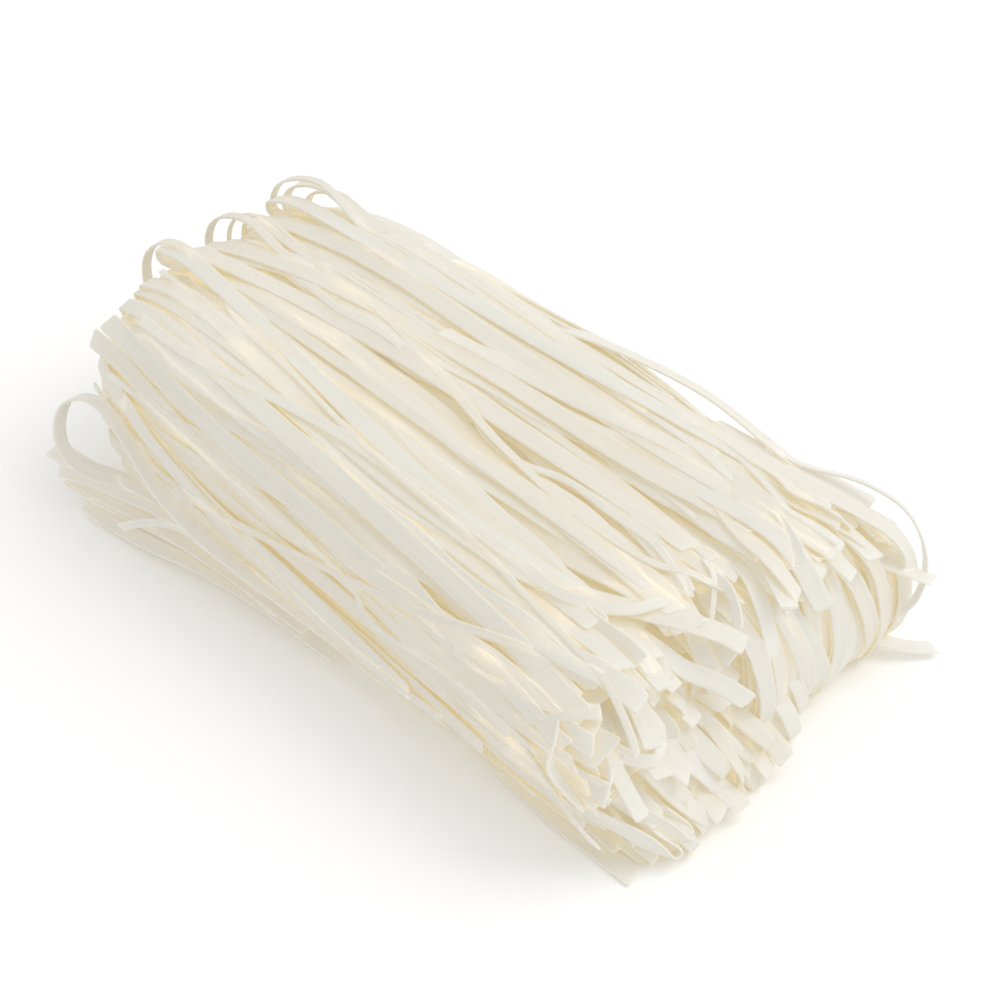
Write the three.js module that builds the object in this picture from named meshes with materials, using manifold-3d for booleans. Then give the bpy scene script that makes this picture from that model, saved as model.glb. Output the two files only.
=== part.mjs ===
// A folded bundle of dried flat rice noodles: one fused solid, millimetres, +Z up.
//
// The strands run along X. At -X they fold back on themselves; at +X the upper strands end in
// square cuts over the folds of the lower ones. The origin is under the middle of the bundle, on
// the surface that it rests on. A smooth body fills the inside, out to just under the strands,
// and each strand that shows is a flat ribbon of true width and thickness fused to it.

import * as THREE from 'three';
import { mergeVertices } from 'three/addons/utils/BufferGeometryUtils.js';
import Module from 'manifold-3d';

// ---------------------------------------------------------------- driving dimensions, mm

const NOODLE_WIDTH = 4.8;
const NOODLE_THICKNESS = 1.0;
const SLIVER_WIDTH = 2.4;
const WIDE_END_WIDTH = 6;

const HALF_LENGTH = 109;
const NEAR_HALF_WIDTH = 49;
const NEAR_FLARE_FOLDED = 3.5;
const NEAR_FLARE_CUT = 9;
const NEAR_WAIST_AT = 0.3;
const FAR_HALF_WIDTH = 48;
const FAR_FLARE = 7;
const CUT_END_REACH = { near: 111, far: 101.5 };
const FOLDED_END_HEIGHT = 66;
const CUT_END_HEIGHT = 47;
const UNDERSIDE_DIP = 0.6;

const CORE_INSET = 2.2;
const CORE_BEHIND_FOLDS = 9;
const CORE_UNDERSIDE = 0.9;
const CORE_DIVISIONS = { length: 8, width: 4, height: 4 };
const BEDDING = 3.5;
const STRAND_STEP = 22;
const FREE_STEP = 10;

const TOP_LANES = 18;
const TOP_LANE_REACH = 0.93;
const SIDE_LANES = 6;
const UNDERSIDE_LANES = 11;
const UNDERSIDE_LANE_PITCH = 8.4;
const CUT_END_FOLDS = 17;
const FOLDED_END_FOLDS = 9;
const DROOPING_ENDS = 6;

// ---------------------------------------------------------------- small helpers

const ALONG = new THREE.Vector3(1, 0, 0);
const ACROSS = new THREE.Vector3(0, 1, 0);
const UP = new THREE.Vector3(0, 0, 1);
const { degToRad, lerp, smoothstep } = THREE.MathUtils;

/** Repeatable numbers between low and high, drawn one after another from a seed. */
function seededRange(seed) {
  let state = seed;
  return (low, high) => {
    state = (state * 1664525 + 1013904223) % 4294967296;
    return lerp(low, high, state / 4294967296);
  };
}

const draw = seededRange(20);

/** A slow sideways wander along a strand, with no shift at its middle. */
function wander(amplitude, waves, phase) {
  return (t) => amplitude * (Math.sin(waves * Math.PI * 2 * (t - 0.5) + phase) - Math.sin(phase));
}

// ---------------------------------------------------------------- the body's form

/** The body's limits at u, from -1 at the folded end to 1 at the cut end. */
function limitsAt(u) {
  const flare = u < NEAR_WAIST_AT ? NEAR_FLARE_FOLDED : NEAR_FLARE_CUT;
  const near = -(NEAR_HALF_WIDTH + flare * (u - NEAR_WAIST_AT) ** 2);
  const far = FAR_HALF_WIDTH + FAR_FLARE * smoothstep(u, -0.6, 1.0);
  const height = lerp(FOLDED_END_HEIGHT, CUT_END_HEIGHT, smoothstep(u, -0.7, 1.2));
  return {
    middle: (near + far) / 2,
    halfWidth: (far - near) / 2,
    halfHeight: (height + UNDERSIDE_DIP) / 2,
  };
}

/** How far out (a, b, c) lies: 1 on the rounded cushion that fills the cube from -1 to 1. */
function cushionLevel(a, b, c) {
  const size = Math.max(Math.abs(a), Math.abs(b), Math.abs(c));
  const toCutEnd = smoothstep(a / size, -0.8, 0.8);
  const toUnderside = smoothstep(-c / size, -0.3, 0.9);
  const planPower = lerp(4, 9, toCutEnd);
  const crownPower = lerp(lerp(3, 3.4, toCutEnd), 6, toUnderside);
  const plan = (Math.abs(a) ** planPower + Math.abs(b) ** planPower) ** (1 / planPower);
  return (plan ** crownPower + Math.abs(c) ** crownPower) ** (1 / crownPower);
}

/** How far the folds of the cut end reach: further on the near half than on the far half. */
function cutEndReach(y) {
  return lerp(CUT_END_REACH.near, CUT_END_REACH.far, smoothstep(y, -24, 10));
}

/** The point of the body's surface that a point on the cube from -1 to 1 stands for. */
function bodyPoint(a, b, c) {
  const level = cushionLevel(a, b, c);
  const { middle, halfWidth, halfHeight } = limitsAt(a / level);
  return new THREE.Vector3(
    (HALF_LENGTH * a) / level,
    middle + (halfWidth * b) / level,
    (halfHeight * c) / level + halfHeight - UNDERSIDE_DIP,
  );
}

/** The level of any point in space: 1 on the body's surface, less inside it. */
function bodyLevel(point) {
  const u = THREE.MathUtils.clamp(point.x / HALF_LENGTH, -1.2, 1.2);
  const { middle, halfWidth, halfHeight } = limitsAt(u);
  const c = (point.z + UNDERSIDE_DIP - halfHeight) / halfHeight;
  return cushionLevel(point.x / HALF_LENGTH, (point.y - middle) / halfWidth, c);
}

/** The outward direction of the body at a point, from how its level changes there. */
function outwardAt(point) {
  const step = 0.5;
  const slope = (axis) => {
    const ahead = point.clone().addScaledVector(axis, step);
    const behind = point.clone().addScaledVector(axis, -step);
    return bodyLevel(ahead) - bodyLevel(behind);
  };
  return new THREE.Vector3(slope(ALONG), slope(ACROSS), slope(UP)).normalize();
}

// ---------------------------------------------------------------- routes

/** A way over the body at b across it, s mm along its top from the middle, down both ends. */
function overTop(b, s) {
  const past = Math.max(0, Math.abs(s) - HALF_LENGTH);
  const drop = past / (FOLDED_END_HEIGHT / 2);
  return bodyPoint(THREE.MathUtils.clamp(s / HALF_LENGTH, -1, 1), b, 1 - drop);
}

/** A way along one long side (-1 near, 1 far) at c up it, s mm from the middle. */
function alongSide(side, c, s) {
  const past = Math.max(0, Math.abs(s) - HALF_LENGTH);
  const inward = past / NEAR_HALF_WIDTH;
  return bodyPoint(THREE.MathUtils.clamp(s / HALF_LENGTH, -1, 1), side * (1 - inward), c);
}

// The direction of a strand's width where it lies on the body, on the floor, or upright in a fold.
const flatOnBody = (point, along) => outwardAt(point).cross(along);
const flatOnFloor = (point, along) => UP.clone().cross(along);
const acrossBundle = () => ACROSS.clone();

/** A strand's way: its point at t from 0 to 1, and the direction of its width there. */
function route(pointAt, length, widthDirection = flatOnBody) {
  return { pointAt, length, widthDirection };
}

/** A way through a few points of its own. */
function freeRoute(points, widthDirection) {
  const curve = new THREE.CatmullRomCurve3(points.map((p) => new THREE.Vector3(...p)));
  return route((t) => curve.getPointAt(t), curve.getLength(), widthDirection);
}

/** A fold at one end (-1 or 1): out along the bundle, round, and back higher up. */
function foldRoute({ end, y, reach, low, high, bulge, lowLeg, highLeg, skew = 0 }) {
  const turns = 5;
  const centre = reach - bulge;
  const points = [[end * (centre - lowLeg), y - skew, low]];
  for (let i = 0; i <= turns; i += 1) {
    const angle = Math.PI * (i / turns - 0.5);
    const x = end * (centre + bulge * Math.cos(angle));
    points.push([x, y + skew * (i / turns - 0.5), lerp(low, high, (1 + Math.sin(angle)) / 2)]);
  }
  points.push([end * (centre - highLeg), y + skew, high]);
  return freeRoute(points, acrossBundle);
}

// ---------------------------------------------------------------- solids

const wasm = await Module();
wasm.setup();

/** A closed geometry as a solid that can be joined and cut. */
function toSolid(geometry) {
  geometry.deleteAttribute('normal');
  geometry.deleteAttribute('uv');
  const merged = mergeVertices(geometry, 1e-4);
  return new wasm.Manifold(new wasm.Mesh({
    numProp: 3,
    vertProperties: merged.attributes.position.array,
    triVerts: Uint32Array.from(merged.index.array),
  }));
}

/** Moves every vertex of a geometry to where place(x, y, z) puts it. */
function reshape(geometry, place) {
  const positions = geometry.attributes.position;
  for (let i = 0; i < positions.count; i += 1) {
    const moved = place(positions.getX(i), positions.getY(i), positions.getZ(i));
    positions.setXYZ(i, moved.x, moved.y, moved.z);
  }
  return geometry;
}

/** All the space below a height, to be cut away. */
function spaceBelow(height) {
  const depth = 40;
  return toSolid(new THREE.BoxGeometry(400, 400, depth).translate(0, 0, height - depth / 2));
}

/** The filled inside of the bundle: a cube pressed to the body's form, just under its strands. */
function coreSolid() {
  const { length, width, height } = CORE_DIVISIONS;
  const cube = new THREE.BoxGeometry(2, 2, 2, length, width, height);
  const cushion = toSolid(reshape(cube, (a, b, c) => {
    const point = bodyPoint(a, b, c);
    point.addScaledVector(outwardAt(point), -CORE_INSET);
    point.x = Math.min(point.x, cutEndReach(point.y) - CORE_BEHIND_FOLDS);
    return point;
  }));
  return cushion.subtract(spaceBelow(CORE_UNDERSIDE));
}

/** A strand's point at t, and the directions across it and out of its face. */
function strandFrame(path, t, roll) {
  const step = 0.004;
  const point = path.pointAt(t);
  const along = path.pointAt(Math.min(1, t + step)).sub(path.pointAt(Math.max(0, t - step)));
  along.normalize();
  const across = path.widthDirection(point, along);
  across.addScaledVector(along, -across.dot(along)).normalize();
  across.applyAxisAngle(along, roll);
  return { point, across, out: along.cross(across) };
}

/** A flat noodle along a route; depthAt says how far down it reaches below the route at t. */
function noodle(path, { width = NOODLE_WIDTH, step = FREE_STEP, lift = 0, roll = 0, depthAt } = {}) {
  const segments = Math.max(4, Math.round(path.length / step));
  const strip = new THREE.BoxGeometry(1, 1, 1, segments, 1, 1);
  const half = NOODLE_THICKNESS / 2;
  return toSolid(reshape(strip, (x, y, z) => {
    const t = x + 0.5;
    const { point, across, out } = strandFrame(path, t, degToRad(roll));
    const offset = z > 0 ? lift + half : -(depthAt ? depthAt(t) : half - lift);
    return point.addScaledVector(across, y * width).addScaledVector(out, offset);
  }));
}

/** Keeps the outer shell of a joined mesh: sealed hollows fill up and loose scraps go. */
function outerShell({ vertProperties, triVerts }) {
  const parent = Array.from({ length: vertProperties.length / 3 }, (_, i) => i);
  const root = (i) => {
    let top = i;
    while (parent[top] !== top) top = parent[top];
    parent[i] = top;
    return top;
  };
  for (let i = 0; i < triVerts.length; i += 3) {
    parent[root(triVerts[i + 1])] = root(triVerts[i]);
    parent[root(triVerts[i + 2])] = root(triVerts[i]);
  }
  const counts = new Map();
  for (const vertex of triVerts) counts.set(root(vertex), (counts.get(root(vertex)) ?? 0) + 1);
  const largest = [...counts].reduce((best, entry) => (entry[1] > best[1] ? entry : best))[0];
  const kept = [];
  for (let i = 0; i < triVerts.length; i += 3) {
    if (root(triVerts[i]) === largest) kept.push(triVerts[i], triVerts[i + 1], triVerts[i + 2]);
  }
  const shell = new THREE.BufferGeometry();
  shell.setAttribute('position', new THREE.BufferAttribute(vertProperties, 3));
  shell.setIndex(kept);
  return shell;
}

// ---------------------------------------------------------------- strands

/** A strand over the top: from the folded end, along, and off past the cut end's edge. */
function topStrand(lane) {
  const b = lerp(-TOP_LANE_REACH, TOP_LANE_REACH, lane / (TOP_LANES - 1)) + draw(-0.02, 0.02);
  const start = -(HALF_LENGTH + draw(6, 36));
  const leaves = draw(88, 96) - 7 * smoothstep(b, -0.2, 0.5);
  const end = leaves + draw(12, 22);
  const sway = wander(0.03, draw(0.5, 1.3), draw(0, Math.PI * 2));
  const droop = draw(0.004, 0.02);
  const pointAt = (t) => {
    const s = lerp(start, end, t);
    if (s <= leaves) return overTop(b + sway(t), s);
    const edge = overTop(b + sway(t), leaves);
    const ahead = edge.clone().sub(overTop(b + sway(t), leaves - 2)).normalize();
    const past = s - leaves;
    return edge.addScaledVector(ahead, past).addScaledVector(UP, -droop * past * past);
  };
  const depthAt = (t) => (lerp(start, end, t) < leaves ? BEDDING : NOODLE_THICKNESS / 2);
  const lift = draw(0, 0.8);
  const roll = draw(-12, 12);
  return noodle(route(pointAt, end - start), { step: STRAND_STEP, lift, roll, depthAt });
}

/** A strand along a long side, at a share of the way up it. */
function sideStrand(side, lane) {
  const c = lerp(-0.72, 0.62, lane / (SIDE_LANES - 1));
  const start = -(HALF_LENGTH + draw(-6, 14));
  const end = HALF_LENGTH - draw(0, 14);
  const slope = draw(-0.1, 0.1);
  const sway = wander(0.06, draw(0.5, 1.2), draw(0, Math.PI * 2));
  const pointAt = (t) => alongSide(side, c + slope * (t - 0.5) + sway(t), lerp(start, end, t));
  const lift = draw(0, 0.9);
  const roll = draw(-14, 14);
  return noodle(route(pointAt, end - start), {
    step: STRAND_STEP, lift, roll, depthAt: () => BEDDING,
  });
}

/** A straight strand underneath, with its flat face on the floor. */
function undersideStrand(lane) {
  const y = UNDERSIDE_LANE_PITCH * (lane - (UNDERSIDE_LANES - 1) / 2);
  const turn = draw(-2.5, 2.5) * (y / HALF_LENGTH);
  const height = NOODLE_THICKNESS / 2;
  const ends = [[-draw(88, 94), y - turn, height], [draw(88, 96), y + turn, height]];
  return noodle(freeRoute(ends, flatOnFloor), { step: HALF_LENGTH });
}

/** The lower strands' folds that close the cut end, under the cut strands. */
function cutEndFold(index) {
  const y = lerp(-45, 52, index / (CUT_END_FOLDS - 1));
  return noodle(foldRoute({
    end: 1,
    y: y + draw(-1, 1),
    reach: cutEndReach(y) + draw(-4, 0.4),
    low: draw(1, 3),
    high: draw(25, 34),
    bulge: draw(10, 14),
    lowLeg: 12,
    highLeg: 10,
    skew: draw(-3, 3),
  }));
}

/** The folds of the lower strands at the folded end. */
function foldedEndFold(index) {
  const y = lerp(-38, 44, index / (FOLDED_END_FOLDS - 1));
  return noodle(foldRoute({
    end: -1,
    y: y + draw(-2, 2),
    reach: draw(102, 109) - 5 * (Math.abs(y) / 45) ** 2,
    low: draw(2, 8),
    high: draw(30, 44),
    bulge: draw(13, 18),
    lowLeg: 10,
    highLeg: 8,
    skew: draw(-4, 4),
  }));
}

// The folds that stand clear of the folded end as open arches.
const ARCHES = [
  { y: 28, reach: 104, low: 38, high: 63, bulge: 20, lowLeg: 4, highLeg: 26, skew: 3 },
  { y: 33, reach: 97, low: 40, high: 60, bulge: 15, lowLeg: 4, highLeg: 24, skew: 2 },
  { y: 6, reach: 105, low: 36, high: 61.5, bulge: 15, lowLeg: 4, highLeg: 26, skew: 2 },
  { y: 10, reach: 101, low: 38, high: 60, bulge: 12, lowLeg: 4, highLeg: 22, skew: 2 },
  { y: -13, reach: 111, low: 32, high: 60, bulge: 16, lowLeg: 6, highLeg: 24, skew: 2 },
];

// Strands that leave the body, each by the few points it passes, its width and how it lies.
const STRAYS = [
  // The loop at the folded end's near corner: up from the floor fan, round and down the side.
  { points: [
    [-46, -43, 12], [-68, -49, 12], [-89, -57, 13], [-98, -58, 22], [-94, -55, 32],
    [-83, -51, 35], [-62, -57, 27], [-36, -58, 20], [-6, -51, 12], [28, -48, 6],
  ], lies: acrossBundle },
  // The fan of ends that spreads on the floor from the near side.
  { points: [[-99, -60, 14], [-84, -59, 12], [-62, -54, 12], [-30, -47, 10]], lies: flatOnFloor },
  { points: [[-101, -54, 9], [-82, -53, 9], [-55, -48, 9], [-30, -44, 8]], lies: flatOnFloor },
  { points: [[-84, -59.5, 4], [-62, -58, 3.5], [-25, -53, 2], [20, -47, 2]], lies: flatOnFloor },
  { points: [[-92, -45, 3], [-70, -46, 3], [-40, -44, 3]], lies: flatOnFloor },
  // Two square-cut ends at the folded end's near shoulder.
  { points: [[-97, -46, 48], [-84, -43, 52], [-60, -38, 57]], lies: flatOnBody },
  { points: [[-99, -39, 51], [-86, -37, 55], [-60, -32, 59]], lies: flatOnBody },
  // The strand that rises off the far edge, and its thin neighbour round the corner.
  { points: [
    [-12, 36, 55], [8, 41, 55.5], [38, 48, 52], [57, 49, 48], [74, 51, 41], [89, 54, 28],
  ], lies: flatOnBody },
  { points: [
    [70, 50, 44], [84, 57, 44], [96, 60.5, 37], [102, 59.5, 27], [103, 57, 18], [99, 53, 10],
  ], width: SLIVER_WIDTH, lies: flatOnBody },
  // Loose ends at the far corner of the cut end.
  { points: [[76, 38, 37], [92, 46, 33], [101, 52, 29], [107.5, 57, 26]], lies: flatOnBody },
  { points: [[88, 44, 9], [99, 50, 5], [105, 55, 3], [109.5, 60.7, 1.5]], lies: flatOnFloor },
  // The wide end that lies on the floor at the near corner.
  { points: [
    [30, -45, 4], [60, -49, 3], [85, -51.5, 1.5], [105.5, -53.5, 0.6],
  ], width: WIDE_END_WIDTH, lies: flatOnFloor },
];

/** Ends of the upper layer that droop over the near corner of the cut end. */
function droopingEnd(index) {
  const y = lerp(-50, -18, index / (DROOPING_ENDS - 1));
  const reach = draw(94, 103);
  const points = [[62, y + 6, 40], [78, y + 3, 36], [reach - 8, y, 30], [reach, y, draw(16, 24)]];
  return noodle(freeRoute(points, flatOnBody));
}

/** Every strand of the bundle, as a solid. */
function strandSolids() {
  const solids = [];
  const repeat = (count, make) => {
    for (let i = 0; i < count; i += 1) solids.push(make(i));
  };
  repeat(TOP_LANES, topStrand);
  repeat(SIDE_LANES, (i) => sideStrand(-1, i));
  repeat(SIDE_LANES, (i) => sideStrand(1, i));
  repeat(UNDERSIDE_LANES, undersideStrand);
  repeat(CUT_END_FOLDS, cutEndFold);
  repeat(FOLDED_END_FOLDS, foldedEndFold);
  repeat(DROOPING_ENDS, droopingEnd);
  for (const arch of ARCHES) solids.push(noodle(foldRoute({ end: -1, ...arch })));
  for (const { points, width, lies } of STRAYS) {
    solids.push(noodle(freeRoute(points, lies), { width }));
  }
  return solids;
}

/** The whole bundle: core and strands joined, and level where it rests. */
function bundleGeometry() {
  const joined = strandSolids().reduce((bundle, strand) => bundle.add(strand), coreSolid());
  return outerShell(joined.subtract(spaceBelow(0)).getMesh());
}

// ---------------------------------------------------------------- scene graph

const driedRice = new THREE.MeshStandardMaterial({ color: 0xe9e4d6, roughness: 0.6, metalness: 0 });

const noodleBundle = new THREE.Mesh(bundleGeometry(), driedRice);
noodleBundle.name = 'noodle_bundle';

const bundle = new THREE.Group();
bundle.add(noodleBundle);

export default bundle;
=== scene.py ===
"""A folded bundle of dried flat rice noodles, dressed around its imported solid.

The strands run along X. At -X they fold back on themselves; at +X the upper strands end in square
cuts over the folds of the lower ones. Sizes are in millimetres until a mesh is made; a mesh is in
metres, in the frame's axes: origin on the floor under the middle of the bundle, +Z up.
"""

import logging
import math
from dataclasses import dataclass, field
from enum import Enum
from typing import Iterable, Optional, Sequence

import bpy
import numpy as np
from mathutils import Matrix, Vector
from mathutils.bvhtree import BVHTree

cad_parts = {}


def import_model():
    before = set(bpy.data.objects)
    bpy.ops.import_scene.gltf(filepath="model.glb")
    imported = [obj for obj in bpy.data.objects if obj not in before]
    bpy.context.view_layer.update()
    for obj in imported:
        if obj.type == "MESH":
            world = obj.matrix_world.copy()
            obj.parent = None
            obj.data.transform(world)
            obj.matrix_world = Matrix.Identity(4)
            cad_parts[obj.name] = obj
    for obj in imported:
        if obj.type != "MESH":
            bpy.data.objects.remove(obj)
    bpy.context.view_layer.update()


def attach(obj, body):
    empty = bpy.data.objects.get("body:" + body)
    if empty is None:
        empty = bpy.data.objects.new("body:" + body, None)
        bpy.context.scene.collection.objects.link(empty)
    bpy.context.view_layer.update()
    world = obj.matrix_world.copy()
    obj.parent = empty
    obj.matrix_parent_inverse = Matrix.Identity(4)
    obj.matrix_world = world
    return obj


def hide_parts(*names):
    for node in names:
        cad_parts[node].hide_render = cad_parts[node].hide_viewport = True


LOG = logging.getLogger("noodle_bundle")
MM = 0.001
BODY = "root"
CAD_NODE = "noodle_bundle"
Array = np.ndarray
Range = tuple[float, float]
Point = tuple[float, float, float]

# A strand on the floor stays this far clear of it, and no corner of its mesh lies lower, in mm.
REST_GAP = 0.03
LEAST_HEIGHT = 0.05


# ---------------------------------------------------------------------------- small helpers


def smoothstep(low: float, high: float, value: Array) -> Array:
    """A soft step from 0 at low to 1 at high.

    Args:
        low: where the step starts.
        high: where the step ends; it may be less than low.
        value: the numbers to pass through the step.

    Returns:
        The stepped numbers, of value's shape.
    """
    t = np.clip((np.asarray(value, float) - low) / (high - low), 0.0, 1.0)
    return t * t * (3.0 - 2.0 * t)


def unit(vectors: Array) -> Array:
    """Scales each row of an array to length 1."""
    return vectors / np.maximum(np.linalg.norm(vectors, axis=-1, keepdims=True), 1e-9)


def slopes(points: Array) -> Array:
    """The unit direction of travel at each point of a row of points."""
    return unit(np.gradient(points, axis=0))


def distances(points: Array) -> Array:
    """How far along a row of points each of them lies."""
    steps = np.linalg.norm(np.diff(points, axis=0), axis=1)
    return np.concatenate([[0.0], np.cumsum(steps)])


def spread(first: float, last: float, lane: int, lanes: int) -> float:
    """The place of one lane of several that lie evenly from first to last."""
    return first + (last - first) * lane / (lanes - 1)


def smoothed(values: Array, reach: float) -> Array:
    """Blurs a row of numbers with a bell curve, its ends held.

    Args:
        values: one number for each station.
        reach: the bell curve's standard deviation, in stations.

    Returns:
        The blurred numbers.
    """
    span = max(1, int(3 * reach))
    bell = np.exp(-0.5 * (np.arange(-span, span + 1) / max(reach, 1e-6)) ** 2)
    padded = np.pad(values, span, mode="edge")
    return np.convolve(padded, bell / bell.sum(), mode="valid")


def srgb_to_linear(hex_colour: str) -> tuple[float, float, float, float]:
    """Turns a colour such as "#E9E4D6" into Blender's linear red, green, blue and alpha."""
    parts = [int(hex_colour[i : i + 2], 16) / 255 for i in (1, 3, 5)]
    linear = [c / 12.92 if c <= 0.04045 else ((c + 0.055) / 1.055) ** 2.4 for c in parts]
    return (*linear, 1.0)


@dataclass
class Wobble:
    """A slow, smooth, repeatable unevenness along a length.

    Args:
        rng: where the phases come from.
        amplitude: about the largest value, in any unit.
        wavelengths: the lengths of its waves in millimetres, the longest first.
        waves: the height, length and phase of each.
    """

    rng: np.random.Generator
    amplitude: float
    wavelengths: Sequence[float] = (90.0, 38.0)
    waves: list[tuple[float, float, float]] = field(init=False)

    def __post_init__(self) -> None:
        """Draws each wave's height, length and phase."""
        self.waves = [
            (self.rng.uniform(0.5, 1.0) / (i + 1), length * self.rng.uniform(0.8, 1.25),
             self.rng.uniform(0, 2 * math.pi))
            for i, length in enumerate(self.wavelengths)
        ]

    def at(self, distance: Array) -> Array:
        """The unevenness at distances along the length, in millimetres."""
        total = sum(h * np.sin(2 * math.pi * distance / w + p) for h, w, p in self.waves)
        return self.amplitude * total


# ---------------------------------------------------------------------------- the bundle's form


@dataclass(frozen=True)
class BundleForm:
    """The rounded cushion that the bundle fills, without its loose strands, in millimetres.

    It is a cube from -1 to 1, pressed to a cushion: a runs along it from the folded end to the
    cut end, b across it from near to far, and c up.

    Args:
        folded_length: how far the folded end lies from the middle.
        cut_length: how far the cut end does.
        near_half_width: how far the near side lies from the middle.
        near_flare: how fast it runs outwards from its waist to the cut end.
        near_waist_at: where that waist is, from -1 to 1.
        far_half_width: how far the far side lies from the middle at the folded end.
        far_flare: how much further out it is at the cut end.
        cut_reach_near: how far the near half of the cut end's face reaches.
        cut_reach_far: how far its far half does.
        folded_height: the height at the folded end.
        cut_height: the height at the cut end.
        underside_dip: how far the cushion's underside would reach into the floor.
        drawn_in: how much shorter it is at the folded end's near corner.
    """

    folded_length: float = 103.0
    cut_length: float = 109.0
    near_half_width: float = 49.0
    near_flare: float = 9.0
    near_waist_at: float = 0.3
    far_half_width: float = 45.2
    far_flare: float = 7.8
    cut_reach_near: float = 99.0
    cut_reach_far: float = 101.5
    folded_height: float = 58.7
    cut_height: float = 45.5
    underside_dip: float = 0.6
    drawn_in: float = 5.0

    def limits(self, u: Array) -> tuple[Array, Array, Array]:
        """The cushion's width and height along it.

        Args:
            u: places along it, from -1 (folded end) to 1 (cut end).

        Returns:
            Its middle across, half its width and half its height at each of them.
        """
        near = self.near_half_width + self.near_flare * np.maximum(0, u - self.near_waist_at) ** 2
        far = self.far_half_width + self.far_flare * smoothstep(-0.6, 1.0, u)
        fall = smoothstep(-0.7, 1.2, u)
        height = self.folded_height + (self.cut_height - self.folded_height) * fall
        return (far - near) / 2, (far + near) / 2, (height + self.underside_dip) / 2

    def level(self, cube: Array) -> Array:
        """How far out points of the cube's space lie.

        Args:
            cube: the points, as a, b and c.

        Returns:
            1 for a point on the cushion, less for one inside it.
        """
        a, b, c = (np.abs(cube[..., i]) for i in range(3))
        size = np.maximum(np.maximum(np.maximum(a, b), c), 1e-9)
        to_cut = smoothstep(-0.8, 0.8, cube[..., 0] / size)
        to_far = smoothstep(0.0, 0.8, cube[..., 1] / size)
        to_underside = smoothstep(-0.3, 0.9, -cube[..., 2] / size)
        # The higher a power, the squarer the cushion: in plan, and over its crown.
        plan_power = 5.5 + 3.5 * to_cut
        crown_power = 4.2 - 0.8 * to_cut - (0.5 + 0.8 * to_cut) * to_far
        crown_power = crown_power + (6.0 - crown_power) * to_underside
        plan = (a**plan_power + b**plan_power) ** (1 / plan_power)
        return (plan**crown_power + c**crown_power) ** (1 / crown_power)

    def point(self, cube: Array) -> Array:
        """The points of the cushion's surface that points on the cube stand for.

        Args:
            cube: the points, as a, b and c.

        Returns:
            Their places in space.
        """
        pressed = cube / self.level(cube)[..., None]
        middle, half_width, half_height = self.limits(pressed[..., 0])
        drawn_in = self.drawn_in * smoothstep(-0.2, -0.9, pressed[..., 1])
        to_folded = self.folded_length - drawn_in
        return np.stack([
            np.where(pressed[..., 0] < 0, to_folded, self.cut_length) * pressed[..., 0],
            middle + half_width * pressed[..., 1],
            half_height * (pressed[..., 2] + 1) - self.underside_dip,
        ], axis=-1)

    def level_at(self, points: Array) -> Array:
        """How far out points in space lie.

        Args:
            points: the points, in millimetres.

        Returns:
            1 for a point on the cushion, less for one inside it.
        """
        u = points[..., 0] / np.where(points[..., 0] < 0, self.folded_length, self.cut_length)
        middle, half_width, half_height = self.limits(np.clip(u, -1.2, 1.2))
        return self.level(np.stack([
            u,
            (points[..., 1] - middle) / half_width,
            (points[..., 2] + self.underside_dip - half_height) / half_height,
        ], axis=-1))

    def outward(self, points: Array) -> Array:
        """The cushion's outward directions at points in space."""
        steps = np.eye(3) * 0.5
        rise = [self.level_at(points + s) - self.level_at(points - s) for s in steps]
        return unit(np.stack(rise, axis=-1))

    def lengthwise(self, s: Array) -> tuple[Array, Array]:
        """Where the stations of a way lie along the cushion.

        Args:
            s: how far they lie from the middle, in millimetres.

        Returns:
            Their places from -1 to 1, and how far past its ends they go on.
        """
        length = np.where(s < 0, self.folded_length, self.cut_length)
        return np.clip(s / length, -1, 1), np.maximum(0.0, np.abs(s) - length)

    def over_top(self, b: Array, s: Array) -> Array:
        """A way over the cushion and down both its ends.

        Args:
            b: its places across; past 1 or -1 it goes on down the side.
            s: how far its stations lie from the middle, in millimetres.

        Returns:
            Its points.
        """
        a, past = self.lengthwise(s)
        past = past + np.maximum(0.0, np.abs(b) - 1) * self.near_half_width
        c = 1 - past / (self.folded_height / 2)
        return self.point(np.stack([a, np.clip(b, -1, 1), c], axis=-1))

    def along_side(self, side: int, c: Array, s: Array) -> Array:
        """A way along one long side and round both its ends.

        Args:
            side: -1 near, 1 far.
            c: its places up the side, from -1 to 1.
            s: how far its stations lie from the middle, in millimetres.

        Returns:
            Its points.
        """
        a, past = self.lengthwise(s)
        return self.point(np.stack([a, side * (1 - past / self.near_half_width), c], axis=-1))

    def far_share(self, y: Array) -> Array:
        """0 on the near half of the cut end, 1 on its far half, with a step between them."""
        return smoothstep(-12.0, 3.0, y)

    def cut_face(self, y: Array, z: Array) -> Array:
        """How far the cut end reaches: a ramp in its near half, a round in its far half.

        Args:
            y: places across its face.
            z: their heights.

        Returns:
            How far out along X the face is there.
        """
        y, z = np.asarray(y, float), np.asarray(z, float)
        near = self.cut_reach_near - 0.008 * (z - 14.0) ** 2 - 6 * smoothstep(-42, -56, y)
        far = self.cut_reach_far - 0.02 * (z - 16.0) ** 2
        return near + (far - near) * self.far_share(y)


# ---------------------------------------------------------------------------- routes

# How fast the leg of a fold falls away from its strand.
LEG_SAG = 0.004
# An arch's turn has this many points, its way over the top this many.
TURN_POINTS = 7
OVER_POINTS = 8
# From the start of its turn, an arch's lower leg runs this far back, its upper one is free as
# far as this, and it lies on the top from here on.
ARCH_LEG = 6.0
ARCH_FREE = 8.0
ARCH_LANDS = 15.0
# Where the bundle's heart lies: a fold looks away from it.
HEART = np.array([0.0, 0.0, 20.0])


class Lie(Enum):
    """Which way a strand's width points."""

    BODY = "flat on the cushion"
    FLOOR = "flat on the floor"
    UPRIGHT = "across the bundle, as in a fold"


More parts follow.
